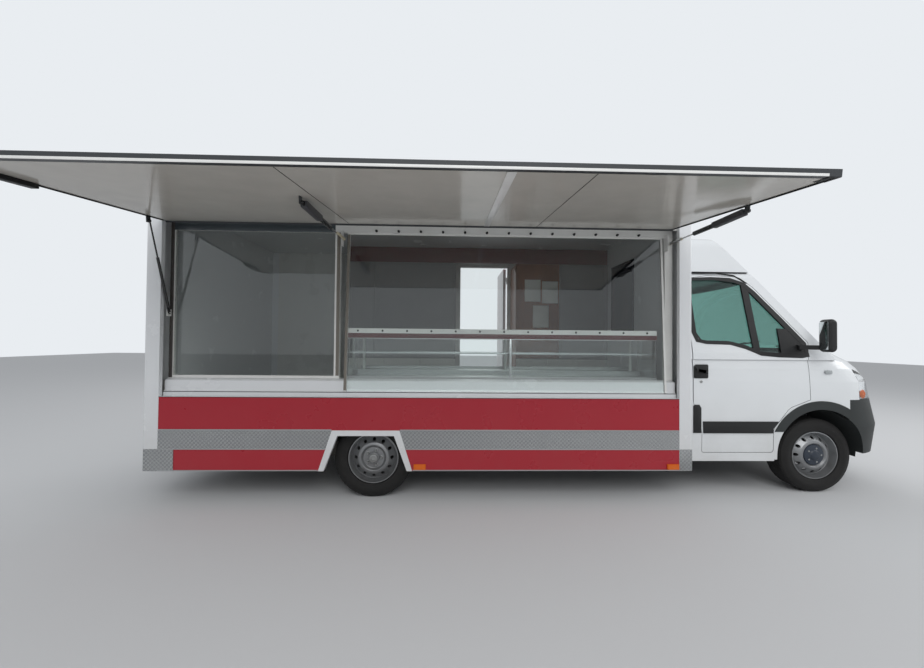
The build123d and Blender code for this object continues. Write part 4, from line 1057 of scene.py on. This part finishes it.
@dataclass
class SalesRoom:
    """Cupboard fronts, boards and pelmet that show through the windows."""

    face: float = 614.0
    front: float = 596.0
    upper_z: Pair = (1150.0, 2396.0)
    lower_z: Pair = (480.0, 1140.0)
    # Rear and front end of each grey panel, and the width of its border
    panels: tuple[Triple, ...] = ((-4408, -3346, 46), (-1978, -1334, 46), (-4738, -4412, 30))
    cupboards: tuple[Pair, ...] = ((-4738, -3346), (-2548, -1334))
    doors: int = 3
    sheets: tuple[Pair, ...] = ((-2440, 1900), (-2210, 1880), (-2330, 1560))
    sheet_size: Pair = (210.0, 290.0)
    board_box: tuple[Triple, Triple] = ((-1346.0, -136.0, 1400.0), (-1333.0, 457.0, 2330.0))

    def build(self) -> None:
        """Make the fronts in order."""
        self.fronts()
        self.wood()
        self.board()

    def panel(self, x: Pair, z: Pair, border: float) -> Piece:
        """Framed door on the far wall."""
        return framed_piece("front", (x[0], self.front, z[0]), (x[1], self.face, z[1]), (0, -1, 0), border, 6)

    def fronts(self) -> None:
        """Doors and drawers below, framed grey panels above."""
        upper = [self.panel((start, end), self.upper_z, border) for start, end, border in self.panels]
        fit(joined("cupboard_panels", upper), CUPBOARD_GREY)
        lower = []
        for start, end in self.cupboards:
            width = (end - start) / self.doors
            lower += [self.panel((start + index * width + 2, start + (index + 1) * width - 2), self.lower_z, 24)
                      for index in range(self.doors)]
        fit(joined("cupboard_doors", lower), COUNTER_WHITE)
        pelmet = box_piece("pelmet", (-4740, 606, 2400), (-1334, self.face, 2598), 2)
        fit(pelmet, PELMET_RED)

    def wood(self) -> None:
        """Wood-coloured upright front beside the doorway with blank sheets on it."""
        front = box_piece("wood_front", (-2548, self.front, 1150), (-1982, self.face, 2396), 1.5)
        cheek = box_piece("wood_cheek", (-2556, self.front, 480), (-2549, 1070, 2396), 1)
        fit(joined("wood_panels", [front, cheek]), WOOD)
        wide, high = self.sheet_size
        sheets = [box_piece("sheet", (x, self.front - 1.5, z), (x + wide, self.front, z + high), 0.3)
                  for x, z in self.sheets]
        fit(joined("blank_sheets", sheets), COUNTER_WHITE)

    def board(self) -> None:
        """Bare dark board on the front wall of the room."""
        fit(framed_piece("front_board", *self.board_box, (-1, 0, 0), 18, 4), BOARD_DARK)


@dataclass
class FlapFittings:
    """Strips, seams and corner cap of the sales flap, drawn level and turned to its droop."""

    hinge_y: float = -1082.0
    hinge_z: float = 2380.0
    length: float = 1480.0
    droop: float = 5.96
    x: Pair = (-5853.0, -1444.0)
    joint_x: Pair = (-3132.0, -3082.0)
    seams_x: tuple[float, ...] = (-4290.0, -2674.0)

    def bar(self, x: Pair, out: Pair, up: Pair,
            edge: float) -> Piece:
        """Make a bar under the flap.

        Args:
            x: its rear and front end.
            out: distances from the flap's outer edge, inwards.
            up: bottom and top over the hinge's height.
            edge: width of the bevel.

        Returns:
            The bar, turned from level to the open flap's slope.
        """
        outer = self.hinge_y - self.length
        piece = box_piece("bar", (x[0], outer + out[0], self.hinge_z + up[0]),
                          (x[1], outer + out[1], self.hinge_z + up[1]), edge)
        hinge = at(0, self.hinge_y, self.hinge_z)
        turn = Matrix.Rotation(math.radians(self.droop), 4, "X")
        piece.data.transform(Matrix.Translation(hinge) @ turn @ Matrix.Translation(-hinge))
        return piece

    def build(self) -> None:
        """Make the fittings."""
        rear, front = self.x
        wide = (36, self.length - 44)
        rows = (
            ("flap_joint_strip", [self.bar(self.joint_x, wide, (-4, 1), 1)], RAIL_WHITE),
            ("flap_seams", [self.bar((x, x + 5), wide, (-1, 1), 0.4) for x in self.seams_x], SEAL_BLACK),
            ("flap_edge_line", [self.bar((rear + 2, front - 66), (-0.5, 3), (1, 15), 0.6)], RAIL_WHITE),
            ("flap_corner_cap", [self.bar((front - 65, front - 0.5), (1, 90), (-3, 2), 1.2)], TRIM_BLACK),
            ("flap_latch_cover", [self.bar((rear + 1, rear + 48), (148, 422), (-28, -0.5), 4)], TRIM_BLACK),
            ("flap_seals", [self.bar((x, x + 12), (20, self.length - 60), (-6, 0.5), 2)
                            for x in (rear + 12, front - 28)], SEAL_BLACK),
        )
        for name, bars, finish in rows:
            fit(joined(name, bars), finish, "flap")


@dataclass
class CabOutside:
    """Handles, mouldings, lamps and wipers of the cab."""

    half: float = 995.0
    screen_base: float = 301.0
    screen_slope: float = 0.9145
    screen_radius: float = 2400.0
    belt: float = 1290.0
    roof_z: float = 2060.0
    roof_half: float = 835.0
    # Outlines in x and z
    handle: tuple[Pair, ...] = ((-1196, 1066), (-1188, 1058), (-1072, 1058), (-1064, 1066), (-1064, 1176),
                                (-1072, 1184), (-1180, 1184), (-1196, 1168))
    moulding: tuple[Pair, ...] = ((-1110, 562), (-462, 562), (-462, 604), (-410, 668), (-1114, 668))
    rear_cover: tuple[Pair, ...] = ((-1204, 564), (-1130, 564), (-1130, 790), (-1148, 819), (-1190, 819),
                                    (-1204, 806))
    side_lamp: tuple[Pair, ...] = ((30, 1104), (92, 1104), (96, 1120), (90, 1138), (32, 1138), (26, 1120))
    drip_rail: tuple[Pair, ...] = ((-1230, 2041), (-884, 2047), (-714, 2024), (-601, 1951))
    window_inner: tuple[Pair, ...] = (
        (-1162, 1970), (-1156, 1484), (-1132, 1416), (-1056, 1402), (-838, 1396), (-694, 1362), (-556, 1304),
        (-400, 1288), (-184, 1278), (-142, 1290), (-162, 1368), (-350, 1594), (-564, 1842), (-646, 1928),
        (-762, 1970), (-940, 1976))
    window_outer: tuple[Pair, ...] = (
        (-1196, 1996), (-1188, 1474), (-1156, 1390), (-1064, 1370), (-840, 1365), (-706, 1328), (-564, 1268),
        (-402, 1254), (-180, 1248), (-108, 1262), (-124, 1388), (-316, 1622), (-532, 1872), (-624, 1958),
        (-756, 2002), (-940, 2008))
    # Pivot and tip of each wiper, across the windscreen
    wiper_y: tuple[Pair, ...] = ((520, -40), (-160, -720))
    lamp: Triple = (640.0, 640.0, 950.0)
    indicator: Triple = (432.0, 908.0, 916.0)
    plate: tuple[Triple, Triple] = ((826.0, -260.0, 470.0), (835.0, 260.0, 580.0))

    def build(self) -> None:
        """Make the fittings of both sides and the front."""
        for label, side in SIDES:
            self.door_side(label, side)
            self.fixed_side(label, side)
        self.wipers()
        self.front()

    def screen_point(self, y: float, z: float, proud: float) -> Triple:
        """Point in front of the windscreen."""
        bow = self.screen_radius - math.sqrt(self.screen_radius ** 2 - y * y)
        return self.screen_base + self.screen_slope * (self.belt - z) - bow + proud, y, z

    def skin_at(self, z: float) -> float:
        """Distance of the cab's side from the centreline at a height."""
        lean = (self.half - 10 - self.roof_half) / (self.roof_z - self.belt)
        return self.half - 10 - max(0.0, z - self.belt) * lean + max(0.0, self.belt - z) / 13

    def door_side(self, label: str, side: int) -> None:
        """Make what moves with a cab door.

        Args:
            label: right or left.
            side: -1 for the serving side, 1 for the other.
        """
        body = "cab_door_" + label
        skin = self.half
        plate = outline_piece("plate", self.handle, side, (skin - 2, skin + 4))
        grip = drawn_piece("grip", [(-1176, side * (skin + 6), 1150), (-1174, side * (skin + 24), 1132),
                                    (-1090, side * (skin + 24), 1120), (-1084, side * (skin + 4), 1112)],
                           (16, 12, 24))
        fit(joined(f"door_handle_{label}", [plate, grip]), TRIM_BLACK, body)
        lock = turned_piece(f"door_lock_{label}", (-1128, side * skin, 1028), Axis.outwards(side),
                            [(13, -2), (13, 2), (10, 4), (3, 3)], 20)
        fit(lock, STAINLESS, body)
        strip = outline_piece(f"door_moulding_{label}", self.moulding, side, (skin - 2, skin + 9), 3)
        fit(strip, TRIM_BLACK, body)
        cover = outline_piece(f"door_rear_cover_{label}", self.rear_cover, side, (skin + 0.6, skin + 7), 2)
        fit(cover, TRIM_BLACK, body)
        self.window_band(label, side)
        glass = box_piece(f"mirror_glass_{label}", (-123, side * 1096, 1331), (-119, side * 1176, 1575), 1)
        fit(glass, MIRROR, body)

    def window_band(self, label: str, side: int) -> None:
        """Broad black band round the side window, which leans with the upper cab.

        Args:
            label: right or left.
            side: -1 for the serving side, 1 for the other.
        """
        deselect()
        bpy.ops.mesh.primitive_circle_add(vertices=len(self.window_inner), radius=1.0)
        band = settle(f"window_band_{label}")
        with editing():
            bpy.ops.mesh.select_mode(type="VERT")
            bpy.ops.mesh.select_all(action="SELECT")
            extrude((0, 0, 0))
        for vertex, (x, z) in zip(band.data.vertices, self.window_inner + self.window_outer):
            vertex.co = at(x, side * (self.skin_at(z) - 1), z)
        with editing():
            extrude((0, side * 4 * MM, 0))
            face_outwards()
        fit(band, TRIM_BLACK, "cab_door_" + label)

    def fixed_side(self, label: str, side: int) -> None:
        """Make the drip rail and the side lamp, which stay with the cab.

        Args:
            label: right or left.
            side: -1 for the serving side, 1 for the other.
        """
        lamp = outline_piece(f"side_lamp_{label}", self.side_lamp, side, (self.half - 3, self.half + 6), 2)
        fit(lamp, LENS_SMOKE)
        points = [(x, side * (self.skin_at(z) + 3), z) for x, z in self.drip_rail]
        fit(drawn_piece(f"drip_rail_{label}", points, (10, 10, 10)), SEAL_BLACK)

    def wipers(self) -> None:
        """Two arms and blades at the foot of the windscreen."""
        parts = []
        for pivot, tip in self.wiper_y:
            middle = (pivot + tip) / 2
            arm = [self.screen_point(*place) for place in
                   ((pivot, 1312, 14), (pivot - 90, 1345, 26), (middle - 40, 1388, 22))]
            blade = [self.screen_point(*place) for place in
                     ((pivot - 60, 1352, 13), (middle - 60, 1380, 13), (tip, 1404, 13))]
            parts += [drawn_piece("arm", arm, (10, 14, 14)), drawn_piece("blade", blade, (8, 8, 16)),
                      turned_piece("boss", self.screen_point(pivot, 1306, 6), Axis.Z,
                                   [(18, -8), (18, 10), (10, 16)], 20)]
        fit(joined("wipers", parts), TRIM_BLACK)

    def front(self) -> None:
        """Lamp bowls behind the clear covers, and the bare front plate."""
        x, y, z = self.lamp
        bowls = [turned_piece("bowl", (x, side * y, z), Axis.X,
                              [(10, 4), (44, 16), (66, 46), (68, 48), (68, 30), (12, -10)], 36) for _, side in SIDES]
        fit(joined("lamp_bowls", bowls), CHROME)
        x, y, z = self.indicator
        ambers = [turned_piece("amber", (x, side * y, z), Axis.outwards(side),
                               [(8, 0), (30, 6), (40, 24), (40, 32), (20, 36)], 28) for _, side in SIDES]
        fit(joined("indicator_bowls", ambers), LENS_AMBER)
        fit(box_piece("front_plate", *self.plate, 1), RAIL_WHITE)


@dataclass
class CabSeats:
    """Crowned seat cushions and backs in place of the plain solids."""

    rows: tuple[tuple[str, float, float], ...] = (
        ("driver", 180.0, 700.0), ("passenger_outer", -820.0, -504.0), ("passenger_inner", -496.0, -180.0))
    cushion_x: Pair = (-898.0, -402.0)
    cushion_z: Pair = (652.0, 778.0)
    gap: float = 4.0
    rest_x: Pair = (-1105.0, -1022.0)
    rest_z: Pair = (1335.0, 1500.0)
    rest_half: float = 120.0
    hinge: Triple = (-900.0, 0.0, 720.0)
    back_half: float = 320.0
    back_thick: float = 132.0
    back_tilt: float = 14.0
    waist: float = 0.03
    fill: float = 0.8

    def cushion(self, name: str, low: Point, high: Point, crown: float) -> Piece:
        """Make one padded block with a crowned top and pulled-in sides.

        Args:
            name: the piece's name.
            low: one corner, in millimetres.
            high: the opposite corner.
            crown: how far the middle stands up, in millimetres.

        Returns:
            The piece.
        """
        piece = box_piece(name, low, high, 24)
        middle = (at(*low) + at(*high)) / 2
        half = (at(*high) - at(*low)) / 2
        with editing():
            bpy.ops.mesh.subdivide(number_cuts=5, smoothness=0.2)
        for vertex in piece.data.vertices:
            share = [abs((vertex.co[i] - middle[i]) / half[i]) for i in range(3)]
            bow = (1 - share[0] ** 2) * (1 - share[1] ** 2)
            if vertex.co.z > middle.z:
                vertex.co.z += crown * MM * bow - crown * MM
            pull = 1 - self.waist * (1 - share[2] ** 2)
            vertex.co.x = middle.x + (vertex.co.x - middle.x) * pull
            vertex.co.y = middle.y + (vertex.co.y - middle.y) * pull
        return piece

    def build(self) -> None:
        """Make driver's and passengers' seats."""
        upright = (Matrix.Translation(at(*self.hinge)) @ Matrix.Rotation(math.radians(-self.back_tilt), 4, "Y")
                   @ Matrix.Translation((0, 0, self.back_half * MM)) @ Matrix.Rotation(math.radians(-90), 4, "Y")
                   @ Matrix.Translation(-at(0, 0, 0)))
        seats = []
        for name, start, end in self.rows:
            right, left = start + self.gap, end - self.gap
            seats.append(self.cushion(f"seat_{name}_cushion", (self.cushion_x[0], right, self.cushion_z[0]),
                                      (self.cushion_x[1], left, self.cushion_z[1]), 16))
            back = self.cushion(f"seat_{name}_back", (-self.back_half, right, -self.back_thick / 2),
                                (self.back_half, left, self.back_thick / 2), 12)
            back.data.transform(upright)
            seats.append(back)
            right, left = (start + end) / 2 - self.rest_half, (start + end) / 2 + self.rest_half
            seats.append(self.cushion(f"seat_{name}_headrest", (self.rest_x[0], right, self.rest_z[0]),
                                      (self.rest_x[1], left, self.rest_z[1]), 10))
        for piece in seats:
            fit(piece, SEAT_CLOTH)
        base = box_piece("seat_boxes", (-878, 222, 486), (-462, 658, 652), 8)
        bench = box_piece("bench_box", (-878, -778, 486), (-462, -222, 652), 8)
        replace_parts(fit(joined("seat_boxes", [base, bench]), DASH_GREY), "cab_seats")


@dataclass
class Stage:
    """Floor, light and camera."""

    floor_size: float = 60.0
    floor: str = "#C9CACB"
    sky: str = "#E9EDF1"
    light: str = "#F4F7FB"
    light_strength: float = 0.62
    # Name, place, target, size in metres and watts
    soft_lamps: tuple[tuple[str, Point, Point, float, float], ...] = (
        ("soft_front", (-2500, -9000, 7500), (-3000, -1000, 1000), 7.0, 420.0),
        ("soft_back", (-2000, 9000, 7500), (-3000, 0, 1500), 7.0, 340.0),
        ("soft_nose", (7000, -2500, 5000), (0, 0, 1000), 5.0, 200.0))
    image_width: float = 924.0
    focal_px: float = 382.04
    sensor: float = 36.0
    camera_at: Triple = (-3404.9, -4410.35, 1387.5)
    yaw: float = 0.0285
    pitch: float = 0.0154
    roll: float = 0.0091
    clip: Pair = (0.05, 200.0)

    def build(self) -> None:
        """Make the surroundings."""
        self.ground()
        self.world()
        self.lamps()
        self.camera()

    def ground(self) -> None:
        """Pale matt floor."""
        deselect()
        bpy.ops.mesh.primitive_plane_add(size=self.floor_size, location=(0, 0, -0.0005))
        plane = settle("floor")
        plane.data.materials.append(Finish("studio_floor", self.floor, 0.9).material())

    def world(self) -> None:
        """Even pale light, with a plain background for what is seen directly."""
        scene = bpy.context.scene
        scene.world = bpy.data.worlds.new("studio")
        scene.world.use_nodes = True
        tree = scene.world.node_tree
        tree.nodes.clear()
        rays = add_node(tree, "LightPath").outputs
        seen = add_node(tree, "Math", {0: rays["Is Camera Ray"], 1: rays["Is Transmission Ray"]},
                        operation="MAXIMUM")
        light = add_node(tree, "Background", {"Color": linear(self.light), "Strength": self.light_strength})
        back = add_node(tree, "Background", {"Color": linear(self.sky), "Strength": 1.0})
        add_node(tree, "OutputWorld", {"Surface": add_node(tree, "MixShader", {0: seen, 1: light, 2: back})})

    def lamps(self) -> None:
        """Three large soft lamps: the serving side, behind and the nose."""
        for name, place, target, size, power in self.soft_lamps:
            data = bpy.data.lights.new(name, "AREA")
            data.size = size
            data.energy = power
            lamp = bpy.data.objects.new(name, data)
            bpy.context.scene.collection.objects.link(lamp)
            start = at(*place)
            way = (at(*target) - start).to_track_quat("-Z", "Y")
            lamp.matrix_world = Matrix.Translation(start) @ way.to_matrix().to_4x4()

    def camera(self) -> None:
        """Camera where the photograph was taken, from the fitted view."""
        data = bpy.data.cameras.new("view")
        data.sensor_width = self.sensor
        data.lens = self.focal_px * self.sensor / self.image_width
        data.clip_start, data.clip_end = self.clip
        forward = Vector((math.sin(self.yaw) * math.cos(self.pitch), math.cos(self.yaw) * math.cos(self.pitch),
                          math.sin(self.pitch)))
        level = Vector((math.cos(self.yaw), -math.sin(self.yaw), 0))
        upright = level.cross(forward)
        right = math.cos(self.roll) * level + math.sin(self.roll) * upright
        up = -math.sin(self.roll) * level + math.cos(self.roll) * upright
        turn = Matrix((right, up, -forward)).transposed().to_4x4()
        camera = bpy.data.objects.new("view", data)
        camera.matrix_world = Matrix.Translation(at(*self.camera_at)) @ turn
        bpy.context.scene.collection.objects.link(camera)
        bpy.context.scene.camera = camera


def main() -> None:
    """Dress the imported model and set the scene."""
    logging.basicConfig(level=logging.INFO, format="%(name)s: %(message)s")
    bpy.context.scene.view_settings.view_transform = "Standard"
    Stage().build()
    CadDress().build()
    for end, style in (("front", CapStyle.DARK), ("rear", CapStyle.BRIGHT)):
        for label, side in SIDES:
            WheelCentre(f"{end}_{label}", side, style).build()
    for assembly in (BoxBody(), ServingSide(), SalesRoom(), FlapFittings(), StrutDress(), CabOutside(), CabSeats()):
        assembly.build()


if __name__ == "__main__":
    main()
